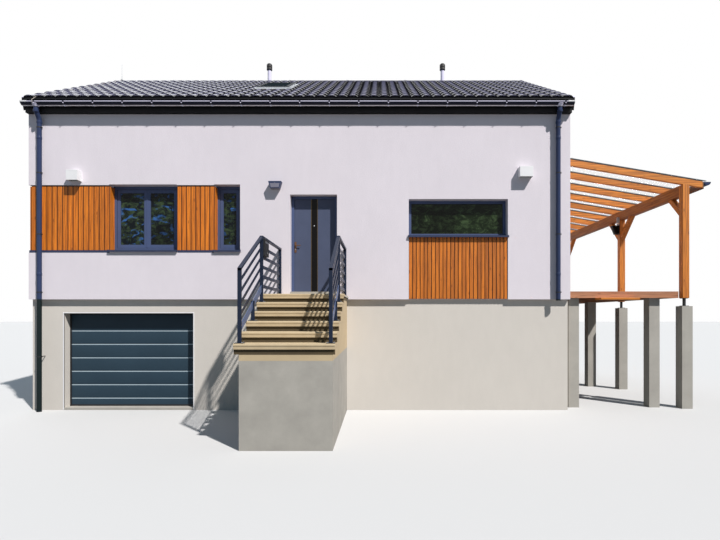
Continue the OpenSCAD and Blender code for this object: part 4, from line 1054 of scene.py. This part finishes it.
class BuildDoor(bpy.types.Operator):
    """Builds the entry door's frame, leaf, glass strip, handles and hinges"""
    bl_idname = "house.build_door"
    bl_label = "Entry door"

    def execute(self, context):
        hinge = (DOOR[1] - 0.0425, LEAF_BACK + 0.011)
        self.frame_piece(*hinge)
        leaf_x = (DOOR[0] + 0.048, DOOR[1] - 0.045)
        leaf_z = (FLOOR_Z + 0.005, DOOR_TOP - 0.045)
        self.leaf_piece(*leaf_x, *leaf_z, *hinge)
        self.handle_piece(leaf_x[0] + 0.042, FLOOR_Z + 1.05)
        return {"FINISHED"}

    def frame_piece(self, hinge_x, hinge_y):
        x0, x1 = DOOR
        w, stop = 0.04, 0.062
        stop_y = DOOR_Y + 0.02
        shape = Shape()
        for a, b, s0, s1 in ((x0, x0 + w, x0 + w, x0 + stop), (x1 - w, x1, x1 - stop, x1 - w)):
            shape.block((a, DOOR_Y, FLOOR_Z), (b, LEAF_BACK, DOOR_TOP))
            shape.block((s0, DOOR_Y, FLOOR_Z), (s1, stop_y, DOOR_TOP - stop))
        shape.block((x0, DOOR_Y, DOOR_TOP - w), (x1, LEAF_BACK, DOOR_TOP))
        shape.block((x0 + w, DOOR_Y, DOOR_TOP - stop), (x1 - w, stop_y, DOOR_TOP - w))
        shape.block((x0 + 0.01, stop_y + 0.0005, DOOR_TOP - 0.045), (x1 - 0.01, stop_y + 0.0035, DOOR_TOP - 0.041), 1)
        for z in HINGES:
            shape.turned((hinge_x, hinge_y, z), [(0.008, -0.004), (0.009, 0), (0.009, 0.06)], Z, 16, 2)
            shape.turned((hinge_x, hinge_y, z + 0.055), [(0.005, 0), (0.005, 0.06)], Z, 12, 2)
            shape.block((hinge_x, LEAF_BACK, z), (hinge_x + 0.03, LEAF_BACK + 0.004, z + 0.06), 2)
            shape.block((hinge_x, LEAF_BACK, z), (hinge_x + 0.004, hinge_y, z + 0.06), 2)
        piece("door_frame_coated", shape, "frame seal steel", "door_frame", 0.002)

    def leaf_piece(self, x0, x1, z0, z1, hinge_x, hinge_y):
        middle = 0.306
        s0, s1 = middle - 0.075, middle + 0.075
        groove = LEAF_Y + 0.01
        edge_w = 0.012
        shape = Shape()
        shape.prism([(x0, LEAF_Y), (s0 - 0.001, LEAF_Y), (s0 - 0.001, groove), (s1 + 0.001, groove),
                     (s1 + 0.001, LEAF_Y), (x1, LEAF_Y), (x1, LEAF_BACK), (x0, LEAF_BACK)], Z, z0, z1)
        for z in HINGES:
            z += 0.0603
            shape.ring(circle(0.009, 16, hinge_x, hinge_y), circle(0.0053, 16, hinge_x, hinge_y), Z, z, z + 0.06, 2)
            shape.block((hinge_x - 0.03, LEAF_BACK, z), (hinge_x - 0.0085, LEAF_BACK + 0.004, z + 0.06), 2)
        for x in (s0, s1 - edge_w):
            shape.block((x, LEAF_Y - 0.004, z0), (x + edge_w, groove - 0.001, z1), 1)
        piece("door_leaf_coated", shape, "door strip_edge steel", "door_leaf", 0.0015, "entry_door")
        shape = Shape()
        inset = edge_w + 0.0005
        shape.block((s0 + inset, LEAF_Y - 0.001, z0 + 0.001), (s1 - inset, groove - 0.001, z1 - 0.001))
        shape.turned((middle, LEAF_Y - 0.001, FLOOR_Z + 1.5),
                     [(0.014, 0), (0.014, -0.006), (0.010, -0.009), (0.006, -0.006)], Y, 20, 1)
        piece("door_strip_glass", shape, "strip steel", "door_strip", body="entry_door")

    def handle_piece(self, x, z):
        shape = Shape()
        for side, face in ((-1, LEAF_Y), (1, LEAF_BACK)):
            plate = face + side * 0.008
            lever = plate + side * 0.035
            y0, y1 = sorted((face, plate))
            shape.block((x - 0.022, y0, z - 0.156), (x + 0.022, y1, z + 0.084))
            shape.tube(smooth_path([(x, plate, z), (x, lever, z), (x + 0.12, lever, z)], 0.012), 0.0095, 14)
            shape.turned((x, plate, z - 0.085), [(0.011, 0), (0.011, side * 0.004), (0.004, side * 0.0045)], Y, 18, 1)
            shape.turned((x, face, z), [(0.017, 0), (0.017, side * 0.012), (0.013, side * 0.014)], Y, 20)
        piece("door_lever_handles", shape, "bronze steel", "door_handles", 0.0012, "entry_door")


# Garage door

class BuildGarageDoor(bpy.types.Operator):
    """Builds the sectional garage door with its grooves, seals and side rails"""
    bl_idname = "house.build_garage_door"
    bl_label = "Garage door"

    def execute(self, context):
        (x0, face, z0), (x1, back, z1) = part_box("garage_door")
        self.panels(x0, x1, z0, z1, face, back)
        # Corner beads round the opening, whiter than the plaster: partly a painted highlight along its edges.
        shape = Shape()
        w = 0.022
        wall = low("garage_front_wall", Y)
        y0, y1 = wall - 0.004, wall + 0.02
        for x in (x0 - w, x1):
            shape.block((x, y0, 0.01), (x + w, y1, z1 + w))
        shape.block((x0 + 0.0005, y0, z1 + 0.0005), (x1 - 0.0005, y1, z1 + w))
        piece("garage_opening_beads", shape, "hood", "", 0.002)
        return {"FINISHED"}

    def panels(self, x0, x1, z0, z1, face, back):
        shape = Shape()
        grooves = 6
        first, pitch, deep = 0.242, 0.308, 0.012
        outline = [(back, z0), (face, z0)]
        for z in (first + pitch * k for k in range(grooves)):
            outline += [(face, z - 0.026), (face + deep, z - 0.002), (face + deep, z + 0.002), (face, z + 0.006)]
        shape.prism(outline + [(face, z1), (back, z1)], X, x0 + 0.001, x1 - 0.001)
        # The slant below each groove faces the sky and gets a pale finish, a painted highlight; a prism's faces are its
        # two ends, then its sides
        for k in range(grooves):
            shape.marks[4 + 4 * k] = 2
        rail = 0.03
        inner = rail + 0.0005
        rear = face - 0.0005
        for x in (x0, x1 - rail):
            shape.block((x, face - 0.02, z0), (x + rail, rear, z1), 1)
        shape.block((x0 + inner, face - 0.016, z1 - rail), (x1 - inner, rear, z1), 1)
        shape.block((x0 + inner, face - 0.008, z0), (x1 - inner, rear, z0 + 0.035), 1)
        piece("garage_door_panels", shape, "garage seal garage_edge", "garage_door")


# Wall fittings

class BuildFittings(bpy.types.Operator):
    """Builds the wall lamp, the vent hoods and the letter box"""
    bl_idname = "house.build_fittings"
    bl_label = "Wall fittings"

    def execute(self, context):
        self.wall_lamp()
        self.hoods()
        self.letter_box()
        return {"FINISHED"}

    def wall_lamp(self):
        (x0, y0, z0), (x1, y1, z1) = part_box("wall_lamp")
        shape = Shape()
        taper, rim, slant = 0.045, 0.012, 0.035
        a, b = x0 + taper + rim, x1 - taper - rim
        shape.prism([(x0 + taper, z0), (x1 - taper, z0), (x1, z1), (x0, z1)], Y, y0, y1 - rim)
        shape.prism([(a, z0 + rim), (b, z0 + rim), (x1 - slant, z1 - taper), (x0 + slant, z1 - taper)],
                    Y, y0 - 0.0015, y0 + 0.004, 1)
        shape.block((x0 + 0.06, y1 - rim, z0 + 0.01), (x1 - 0.06, y1, z1 - 0.01), 2)
        shape.block((a, y0 + rim, z0 - 0.004), (b, y1 - 0.03, z0 + 0.004), 1)
        shape.turned(((x0 + x1) / 2, y0, (z0 + z1) / 2 + slant), [(0.006, 0), (0.006, -0.003), (0.003, -0.0045)],
                     Y, 14, 2)
        piece("wall_lamp_body", shape, "pipe lamp_glass steel", "wall_lamp", 0.004)

    def hoods(self):
        shape = Shape()
        t = 0.004
        front = FRONT - 0.17
        for x, z, w in ((-4.96, FLOOR_Z + 2.44, 0.25), (5.0, FLOOR_Z + 2.515, 0.29)):
            a, b = x - w / 2, x + w / 2
            top = z + 0.2
            shape.frame(a, b, front, FRONT, t, z, top, axis=Z)
            shape.prism([(front, top), (FRONT, top), (FRONT, top + 0.035), (front, top + 0.025)], X, a, b)
            # A black plate and black slats inside the hood stand in for the shade in its open underside: painted shade.
            shape.block((a + t, front + t, z + 0.07), (b - t, FRONT - t, z + 0.08), 1)
            slat = Shape()
            slat.block((a + t, front + 0.02, z + 0.03), (b - t, front + 0.032, z + 0.034))
            shape.repeat(slat, 5, (0, 0.03, 0), "black", 1)
        piece("vent_hood_shells", shape, "hood black", "vent_hoods", 0.004)

    def letter_box(self):
        (x0, y0, z0), (x1, y1, z1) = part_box("letter_box")
        shape = Shape()
        lid = z1 - 0.035
        shape.block((x0, y0, z0), (x1, y1, lid))
        shape.prism([(x0, lid), (x1 + 0.008, lid), (x1 + 0.004, z1 - 0.012), (x0, z1)], Y, y0, y1)
        shape.block((x1, y0 + 0.03, z1 - 0.09), (x1 + 0.006, y1 - 0.03, z1 - 0.055), 1)
        shape.turned((x1, (y0 + y1) / 2, z0 + 0.06), [(0.01, 0), (0.01, 0.006), (0.004, 0.007)], X, 16, 1)
        piece("letter_box_case", shape, "black steel", "letter_box", 0.003)


# Stair

RISE = 0.172
GOING = 0.356
TREADS = 5
LANDING_D = 1.42
NOSING = 0.04
SLAB_T = 0.045


def tread_front(i):
    return FRONT - LANDING_D - i * GOING


def tread_z(i):
    return LANDING_Z - i * RISE


def nosed_slab(shape, front, back, z):
    """A slab across the stair with eased front edges."""
    base = z - SLAB_T
    shape.prism([(front, base + 0.006), (front + 0.006, base), (back, base), (back, z), (front + 0.012, z),
                 (front, z - 0.012)], X, *STAIR)


class BuildStair(bpy.types.Operator):
    """Builds the stair's stone treads, risers and landing slabs"""
    bl_idname = "house.build_stair"
    bl_label = "Stair"

    def execute(self, context):
        x0, x1 = STAIR
        shape = Shape()
        for i in range(1, TREADS + 1):
            nosed_slab(shape, tread_front(i), tread_front(i - 1) + NOSING, tread_z(i))
        piece("stair_tread_slabs", shape, "stone", "stair_treads", 0.002)
        shape = Shape()
        for i in range(TREADS + 1):
            under = tread_z(i) - SLAB_T
            strip = under - 0.045
            riser = tread_front(i) + NOSING
            shape.block((x0 + 0.002, tread_front(i) + 0.006, strip), (x1 - 0.002, riser, under - 0.0005))
            shape.block((x0 + 0.001, riser - 0.004, tread_z(i + 1) + 0.001), (x1 - 0.001, riser - 0.0005, strip), 1)
        piece("stair_riser_strips", shape, "stone riser", "", 0.001)
        shape = Shape()
        edge = tread_front(0)
        first = edge + 0.35
        base = LANDING_Z - SLAB_T
        nosed_slab(shape, edge, first, LANDING_Z)
        rows = columns = 3
        depth, width = (FRONT - first) / rows, (x1 - x0) / columns
        part = Shape()
        part.block((x0 + 0.0005, first + 0.003, base), (x0 + width - 0.002, first + depth - 0.001, LANDING_Z))
        shape.repeat(part, columns, (width, 0, 0), "stone", 0, rows, (0, depth, 0))
        shape.block((x0 + 0.001, first - 0.01, base), (x1 - 0.001, FRONT, LANDING_Z - 0.003), 1)
        piece("landing_slabs", shape, "stone concrete", "landing", 0.002)
        return {"FINISHED"}


class BuildRailings(bpy.types.Operator):
    """Builds both stair railings with their plates and bolts"""
    bl_idname = "house.build_railings"
    bl_label = "Railings"

    def execute(self, context):
        for node in ("railing_left", "railing_right"):
            self.railing(node + "_steel", node, (low(node, X) + high(node, X)) / 2)
        return {"FINISHED"}

    def railing(self, name, node, x):
        shape = Shape()
        front = tread_front(TREADS) + 0.1
        middle = tread_front(3) + 0.18
        back = tread_front(1) + 0.08
        wall = FRONT - 0.04
        top = LANDING_Z + 1.07
        low_top = tread_z(TREADS) + 1.19
        slope = (top - low_top) / (back - front)
        post_w, post_d = 0.06, 0.04
        rail_h, bar_h, plate_h, bar_t = 0.04, 0.064, 0.13, 0.01
        pitch = 0.182
        bars = 4
        drop = (bars + 1) * pitch

        def post(y, z0, z1):
            shape.block((x - post_w / 2, y - post_d / 2, z0), (x + post_w / 2, y + post_d / 2, z1))

        def foot(y, z):
            shape.block((x - 0.07, y - 0.07, z), (x + 0.07, y + 0.07, z + 0.01), 1)
            bolt = Shape()
            bolt.turned((x - 0.05, y - 0.05, z + 0.01),
                        [(0.012, 0), (0.012, 0.003), (0.009, 0.003), (0.009, 0.011), (0.004, 0.013)], Z, 6)
            shape.repeat(bolt, 2, (0.1, 0, 0), "steel", 2, 2, (0, 0.1, 0))

        def bar(y0, z0, y1, z1, h, w=bar_t, mark=0):
            """A flat bar whose upper edge runs from y0, z0 to y1, z1."""
            shape.prism([(y0, z0), (y1, z1), (y1, z1 - h), (y0, z0 - h)], X, x - w / 2, x + w / 2, mark)

        post(front, tread_z(TREADS), low_top)
        post(back, tread_z(1), top)
        post(wall, LANDING_Z, top)
        post(middle, tread_z(3), low_top + slope * (middle - front) - drop)
        for y, z in ((front, tread_z(TREADS)), (back, tread_z(1)), (middle, tread_z(3))):
            foot(y, z)
        bar(front - post_d / 2, low_top, back, top, rail_h, post_w)
        bar(back, top, wall + post_d / 2, top, rail_h, post_w)
        for fall in (i * pitch for i in range(1, bars + 1)):
            bar(front, low_top - fall, back, top - fall, bar_h)
        for fall in (i * pitch for i in range(1, bars + 2)):
            bar(back, top - fall, wall, top - fall, bar_h)
        # The low plate is the railing's steel in a lighter blue: painted sunlight.
        bar(front, low_top - drop, back, top - drop, plate_h, mark=3)
        piece(name, shape, "railing black steel rail_plate", node, 0.002)


# Roof fittings

class BuildRoofFittings(bpy.types.Operator):
    """Builds the roof window, the vent stacks and the lightning rod with its wire"""
    bl_idname = "house.build_roof_fittings"
    bl_label = "Roof fittings"

    def execute(self, context):
        self.roof_window()
        self.stacks()
        self.rod()
        return {"FINISHED"}

    def roof_window(self):
        u0, u1 = low("roof_window_frame", X), high("roof_window_frame", X)
        s1 = 2.3 / math.cos(PITCH)
        s0 = s1 - 1.18
        across_slope = Matrix(((1, 0, 0, 0), (0, -math.cos(PITCH), -math.sin(PITCH), 0),
                               (0, -math.sin(PITCH), math.cos(PITCH), RIDGE_Z), (0, 0, 0, 1)))
        shape, pane = Shape(), Shape()
        shape.place = pane.place = across_slope
        for edge, w, n0, n1, mark in ((0, 0.07, -0.2, 0.065, 0), (-0.004, 0.055, 0.065, 0.078, 0),
                                      (0.055, 0.015, 0.045, 0.073, 2)):
            shape.frame(u0 + edge, u1 - edge, s0 + edge, s1 - edge, w, n0, n1, mark, Z)
        under, lap = -0.012, 0.005
        shape.prism([(s1 + lap, under), (s1 + 0.17, under), (s1 + 0.17, 0.04), (s1 + 0.012, 0.05), (s1 + 0.012, 0.066),
                     (s1 + lap, 0.066)], X, u0 - 0.02, u1 + 0.02, 1)
        shape.block((u0 - 0.09, s0 - 0.12, under), (u1 + 0.09, s0 - lap, 0.03), 1)
        for u in (u0 - 0.085, u1 + lap):
            shape.block((u, s0 - lap, under), (u + 0.08, s1 + lap, 0.04), 1)
        shape.block((u1 + lap, s0 + 0.02, 0.0405), (u1 + 0.012, s1 + 0.004, 0.062), 1)
        piece("roof_window_casing", shape, "casing flashing seal", "roof_window_frame", 0.003)
        pane.block((u0 + 0.07, s0 + 0.07, 0.046), (u1 - 0.07, s1 - 0.07, 0.068))
        piece("roof_window_pane", pane, "roof_pane", "roof_window_glass", 0.001)

    def stacks(self):
        shape = Shape()
        cap = high("vent_stacks", Z) - 0.19
        y = 0.22
        foot = skin_z(y) - 0.02
        for x in (-1.554, 3.678):
            for z, mark, profile in (
                    (foot, 1, [(0.14, -0.07), (0.14, 0.0), (0.12, 0.035), (0.07, 0.07), (0.062, 0.1), (0.055, 0.105)]),
                    # The pipe takes the pale bead coating; its paleness is a painted highlight.
                    (foot + 0.09, 2, [(0.055, 0), (0.055, cap - foot - 0.1)]),
                    (cap, 0, [(0.056, -0.02), (0.083, 0.0), (0.083, 0.055), (0.072, 0.06), (0.072, 0.075),
                              (0.083, 0.08), (0.083, 0.15), (0.06, 0.18), (0.02, 0.19)])):
                shape.turned((x, y, z), profile, Z, 28, mark)
        piece("vent_stack_pipes", shape, "black casing bead", "vent_stacks")

    def rod(self):
        a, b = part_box("lightning_rod")
        x = (a[X] + b[X]) / 2
        foot = a[Z]
        height = b[Z] - foot
        shape = Shape()
        shape.turned((x, 0, foot), [(0.008, 0), (0.008, 0.12), (0.006, 0.13), (0.006, height - 0.03), (0.001, height)],
                     Z, 12)
        shape.block((x - 0.02, -0.03, foot - 0.012), (x + 0.02, 0.03, foot + 0.012))
        piece("lightning_rod_steel", shape, "steel", "lightning_rod")
        wire = Shape()
        rim_y = FASCIA_Y - 2 * GUTTER_R - 0.012
        end = x + 0.16
        wire.tube([(x, 0, RIDGE_Z + 0.05), (x, -0.16, skin_z(0.16) + 0.035),
                   (end, EAVE_Y + 0.02, skin_z(EAVE_Y) + 0.03),
                   (end, rim_y, GUTTER_RIM + 0.012), (end, rim_y, GUTTER_RIM - 0.04),
                   (end - 0.03, FASCIA_Y - GUTTER_R, GUTTER_RIM - GUTTER_R - 0.02),
                   (end - 0.05, FASCIA_Y - 0.01, SOFFIT_Z - 0.01), (end - 0.03, FRONT - 0.02, SOFFIT_Z - 0.05),
                   (end + 0.06, FRONT - 0.02, SOFFIT_Z - 0.14)], 0.005, 8)
        piece("lightning_wire", wire, "wire", "")


# Pergola

def pergola_top(x):
    """Height of the rafters' upper edge."""
    return FLOOR_Z + 3.05 - math.tan(math.radians(9.5)) * (x - HALF_W)


def along_roof(x0, x1, over, thick):
    """The outline of a band over the rafters from x0 to x1, at a height over their upper edges."""
    return [(x0, pergola_top(x0) + over), (x1, pergola_top(x1) + over), (x1, pergola_top(x1) + over + thick),
            (x0, pergola_top(x0) + over + thick)]


class BuildPergola(bpy.types.Operator):
    """Builds the pergola's timbers, roof sheet, gutter, feet and floodlight"""
    bl_idname = "house.build_pergola"
    bl_label = "Pergola"

    def execute(self, context):
        self.y0, self.y1 = low("pergola_ledger", Y), high("pergola_ledger", Y)
        self.middle_post = self.y0 + 2.87
        self.timbers()
        self.roof()
        self.gutter()
        self.feet()
        self.floodlight()
        return {"FINISHED"}

    def timbers(self):
        y0, y1, mid, top = self.y0, self.y1, self.middle_post, pergola_top
        x0, x1 = low("pergola_rafters", X), high("pergola_rafters", X)
        (bx0, _, beam_low), (bx1, _, beam_top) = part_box("pergola_beam")
        post_low = low("pergola_posts", Z)
        d, rafter_w, post_w = 0.135, 0.08, 0.15
        ledger, rafters, side, beam, posts, braces = (Shape() for _ in range(6))
        ledger.block((HALF_W, y0, low("pergola_ledger", Z)), (x0, y1, high("pergola_ledger", Z)))
        part = Shape()
        part.prism([(x0, top(x0)), (x1, top(x1)), (x1, top(x1) - d), (bx1, top(bx1) - d), (bx1, beam_top),
                    (bx0, beam_top), (bx0, top(bx0) - d), (x0, top(x0) - d)], Y, y0, y0 + rafter_w)
        rafters.repeat(part, RAFTER_COUNT, (0, RAFTER_SPACING, 0), "rafter")
        part.move(0, y1 - rafter_w - y0)
        rafters.take(part.mesh("Last rafter"))
        side.block(*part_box("pergola_side_board"))
        beam.block((bx0, y0 + post_w, beam_low), (bx1, y1 - post_w, beam_top))
        for y, top_z in ((y0, beam_top), (mid, beam_low), (y1 - post_w, beam_top)):
            posts.block((bx0, y, post_low), (bx1, y + post_w, top_z))
        m = (bx0 + bx1) / 2
        cut = 0.11 * math.sqrt(2)
        for y, leg, way in ((y0 + post_w, 0.46, 1), (mid, 0.58, -1), (mid + post_w, 0.58, 1), (y1 - post_w, 0.58, -1)):
            braces.prism([(y, beam_low - leg), (y + way * leg, beam_low), (y + way * (leg - cut), beam_low),
                          (y, beam_low - leg + cut)], X, m - 0.06, m + 0.06)
        for part_name, plural, shape, kind, bevel in (
                ("ledger", "", ledger, "beam", 0.004), ("rafter", "s", rafters, "rafter", 0.004),
                ("side_board", "", side, "side_board", 0.003), ("beam", "", beam, "beam", 0.005),
                ("post", "s", posts, "post", 0.005), ("brace", "s", braces, "brace", 0.004)):
            name = "pergola_" + part_name
            piece(name + "_timber" + plural, shape, kind, name + plural, bevel)

    def roof(self):
        y0, y1 = low("pergola_sheet", Y), high("pergola_sheet", Y)
        x0, x1 = HALF_W, high("pergola_sheet", X)
        lap_x = x0 + 0.11
        over = 0.037
        wall_z = pergola_top(x0)
        shape = Shape()
        shape.prism(along_roof(x0, x1, 0.0205, 0.016), Y, y0 + 0.002, y1 - 0.002)
        shape.prism([(x0, wall_z + over), (x0 + 0.012, wall_z + over), (x0 + 0.004, wall_z + 0.1), (x0, wall_z + 0.1)],
                    Y, y0, y1, 1)
        lap_z = pergola_top(lap_x) + over
        shape.prism([(x0, wall_z + over), (lap_x, lap_z), (lap_x, lap_z + 0.003), (x0, wall_z + 0.044)], Y, y0, y1, 1)
        part = Shape()
        part.prism(along_roof(lap_x, x1, over, 0.010), Y, y0 + 0.012, y0 + 0.068)
        shape.repeat(part, RAFTER_COUNT, (0, RAFTER_SPACING, 0), "batten", 2)
        piece("pergola_sheet_panels", shape, "sheet sill batten", "pergola_sheet", 0.001)

    def gutter(self):
        (x0, y0, _), (x1, y1, rim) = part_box("pergola_gutter")
        m = (x0 + x1) / 2
        r = (x1 - x0) / 2 - 0.001
        bead, end_t = 0.008, 0.005
        shape = Shape()
        shape.prism(half_shell(r, 0.003, m, rim), Y, y0, y1)
        for y in (y0, y1 - end_t):
            shape.prism(half_disc(r * 1.01, m, rim), Y, y, y + end_t)
        shape.tube([(x1 - bead, y, rim - bead) for y in (y0, y1)], bead, 10)
        piece("pergola_gutter_shell", shape, "pipe", "pergola_gutter")

    def feet(self):
        (x0, y0, z0), (x1, y1, z1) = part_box("pergola_feet")
        m = (x0 + x1) / 2
        shape = Shape()
        for y in (y0 + 0.04, self.middle_post + 0.075, y1 - 0.04):
            shape.turned((m, y, z0), [(0.034, 0.0), (0.034, z1 - z0)], Z, 24)
            shape.block((m - 0.07, y - 0.07, z0), (m + 0.07, y + 0.07, z0 + 0.012))
            shape.block((m - 0.06, y - 0.06, z1 - 0.01), (m + 0.06, y + 0.06, z1 - 0.0003))
        piece("pergola_steel_feet", shape, "black", "pergola_feet", 0.002)

    def floodlight(self):
        (x0, y0, _), (x1, _, z1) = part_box("pergola_lamp")
        front = y0 + 0.02
        top = low("pergola_beam", Z) - 0.14
        base, glass_base = top - 0.26, top - 0.245
        shape = Shape()
        shape.prism([(x1, top), (x0, top - 0.02), (x1 - 0.132, base), (x1, base)], Y, front, front + 0.1)
        shape.prism([(x1 - 0.012, top - 0.015), (x0 + 0.02, top - 0.032), (x1 - 0.125, glass_base),
                     (x1 - 0.012, glass_base)], Y, y0, front + 0.0005, 1)
        shape.block((x1 - 0.07, front, top - 0.01), (x1 - 0.0005, front + 0.04, z1), 2)
        piece("pergola_floodlight", shape, "black strip flashing", "pergola_lamp", 0.003)


class BuildTerrace(bpy.types.Operator):
    """Builds the terrace's boards and fascia"""
    bl_idname = "house.build_terrace"
    bl_label = "Terrace"

    def execute(self, context):
        (x0, y0, z0), (x1, y1, z1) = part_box("terrace_deck")
        count = round((y1 - y0) / DECK_PITCH)
        pitch = (y1 - y0) / count
        board_t = 0.028
        under = z1 - board_t - 0.001
        shape, part, joist = Shape(), Shape(), Shape()
        part.block((x0, y0, z1 - board_t), (x1, y0 + pitch - 0.006, z1))
        shape.repeat(part, count, (0, pitch, 0), "deck")
        shape.block((x0, y0 + 0.001, z0), (x1 - 0.029, y0 + board_t, under))
        shape.block((x1 - board_t, y0 + 0.001, z0), (x1 - 0.001, y1 - 0.001, under))
        joist.block((x0, y0 + 0.03, z0), (x0 + 0.06, y1, under))
        shape.repeat(joist, 6, ((x1 - x0 - 0.1) / 5, 0, 0), "beam", 1)
        piece("terrace_boards", shape, "deck beam", "terrace_deck", 0.003)
        (x0, y0, z0), (x1, _, z1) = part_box("terrace_step")
        shape, part = Shape(), Shape()
        part.block((x0, y0, z0), (x1, y0 + 0.1, z1))
        shape.repeat(part, 3, (0, 0.105, 0), "rafter")
        piece("terrace_step_board", shape, "rafter", "terrace_step", 0.004)
        return {"FINISHED"}


# CAD nodes that keep their own shape

KEPT = {
    "plaster": "front_wall_left front_wall_over_door front_wall_right back_wall left_gable_wall right_gable_wall",
    "base_plaster": "garage_front_wall garage_back_wall garage_left_wall garage_right_wall",
    "concrete": "garage_floor main_floor attic_floor door_threshold pergola_piers",
    "stair_side": "stair_core",
    "roof_timber": "roof_deck_front roof_deck_back",
    "seal": "pergola_seals",
}


class BuildWalls(bpy.types.Operator):
    """Gives the walls, floors, piers and other plain solids their finishes"""
    bl_idname = "house.build_walls"
    bl_label = "Walls and floors"

    def execute(self, context):
        for name, nodes in KEPT.items():
            for node in nodes.split():
                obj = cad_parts[node]
                if not obj.material_slots:
                    obj.data.materials.append(None)
                for slot in obj.material_slots:
                    slot.material = finish(name)
        return {"FINISHED"}


# Stage

class BuildStage(bpy.types.Operator):
    """Sets the camera at the photograph's viewing angle, the pale floor and the studio lights"""
    bl_idname = "house.build_stage"
    bl_label = "Stage"

    def execute(self, context):
        self.camera()
        self.floor()
        self.lights()
        return {"FINISHED"}

    def camera(self):
        data = bpy.data.cameras.new("Camera")
        data.sensor_width = 36
        data.lens = 24
        picture_width = 720
        data.shift_x = -20 / picture_width
        data.shift_y = 45.5 / picture_width
        data.clip_end = 400
        obj = bpy.data.objects.new("Camera", data)
        obj.location = (1.79, FRONT - 10.67, 2.12)
        obj.rotation_euler = (math.pi / 2, 0, 0)
        bpy.context.scene.collection.objects.link(obj)
        bpy.context.scene.camera = obj

    def floor(self):
        mesh = bpy.data.meshes.new("Floor")
        r = 150
        mesh.from_pydata([(x, y, -0.001) for x, y in rectangle(-r, r, -r, r)], [], [(0, 1, 2, 3)])
        made = Finish("Studio floor", (0.2, 0.2, 0.2, 1), 0.95)
        made.vary(made.noise(0.3, 2), 0.99)
        made.towards(made.node("ShaderNodeLightPath", {}).outputs["Is Camera Ray"], (0.6, 0.6, 0.6, 1))
        mesh.materials.append(made.material)
        obj = bpy.data.objects.new("Floor", mesh)
        bpy.context.scene.collection.objects.link(obj)

    def lights(self):
        world = bpy.data.worlds.new("Studio")
        world.use_nodes = True
        nodes, link = world.node_tree.nodes, world.node_tree.links.new
        sky = nodes["Background"]
        sky.inputs["Color"].default_value = (0.38, 0.69, 1.0, 1)
        sky.inputs["Strength"].default_value = 0.22
        white = nodes.new("ShaderNodeBackground")
        white.inputs["Color"].default_value = (1, 1, 1, 1)
        path = nodes.new("ShaderNodeLightPath")
        seen = path.outputs["Is Camera Ray"]
        for ray in ("Is Glossy Ray", "Is Transmission Ray"):
            either = nodes.new("ShaderNodeMath")
            either.operation = "MAXIMUM"
            link(seen, either.inputs[0])
            link(path.outputs[ray], either.inputs[1])
            seen = either.outputs[0]
        mix = nodes.new("ShaderNodeMixShader")
        for i, source in enumerate((seen, sky.outputs[0], white.outputs[0])):
            link(source, mix.inputs[i])
        link(mix.outputs[0], nodes["World Output"].inputs["Surface"])
        bpy.context.scene.world = world
        for name, energy, angle, towards, colour in (
                ("Key", 4.9, 1.5, (-0.9, 1.0, -1.55), (1.0, 0.965, 0.93)),
                ("Back fill", 0.5, 40, (0.6, -1.0, -0.8), (0.92, 0.96, 1.0))):
            data = bpy.data.lights.new(name, "SUN")
            data.energy = energy
            data.angle = math.radians(angle)
            data.color = colour
            obj = bpy.data.objects.new(name, data)
            obj.rotation_euler = Vector(towards).to_track_quat("-Z", "Y").to_euler()
            bpy.context.scene.collection.objects.link(obj)
        bpy.context.scene.view_settings.view_transform = "Standard"


class HousePanel(bpy.types.Panel):
    """Lists the sizes, the colours and the building steps of the house"""
    bl_idname = "VIEW3D_PT_house"
    bl_label = "Detached house"
    bl_space_type = "VIEW_3D"
    bl_region_type = "UI"
    bl_category = "House"

    def draw(self, context):
        settings = context.scene.house
        for name in settings.__annotations__:
            self.layout.prop(settings, name)
        for step in STEPS:
            self.layout.operator(step.bl_idname)


STEPS = (BuildWalls, BuildRoof, BuildRainwater, BuildRoofFittings, BuildWindows, BuildCladding, BuildDoor,
         BuildGarageDoor, BuildFittings, BuildStair, BuildRailings, BuildPergola, BuildTerrace, BuildStage)
CLASSES = (HouseSettings, *STEPS, HousePanel)


def register():
    for cls in CLASSES:
        bpy.utils.register_class(cls)
    bpy.types.Scene.house = bpy.props.PointerProperty(type=HouseSettings)


def unregister():
    del bpy.types.Scene.house
    for cls in reversed(CLASSES):
        bpy.utils.unregister_class(cls)


def main():
    global HOUSE
    register()
    HOUSE = bpy.context.scene.house
    for step in STEPS:
        area, name = step.bl_idname.split(".")
        getattr(getattr(bpy.ops, area), name)()


if __name__ == "__main__":
    main()
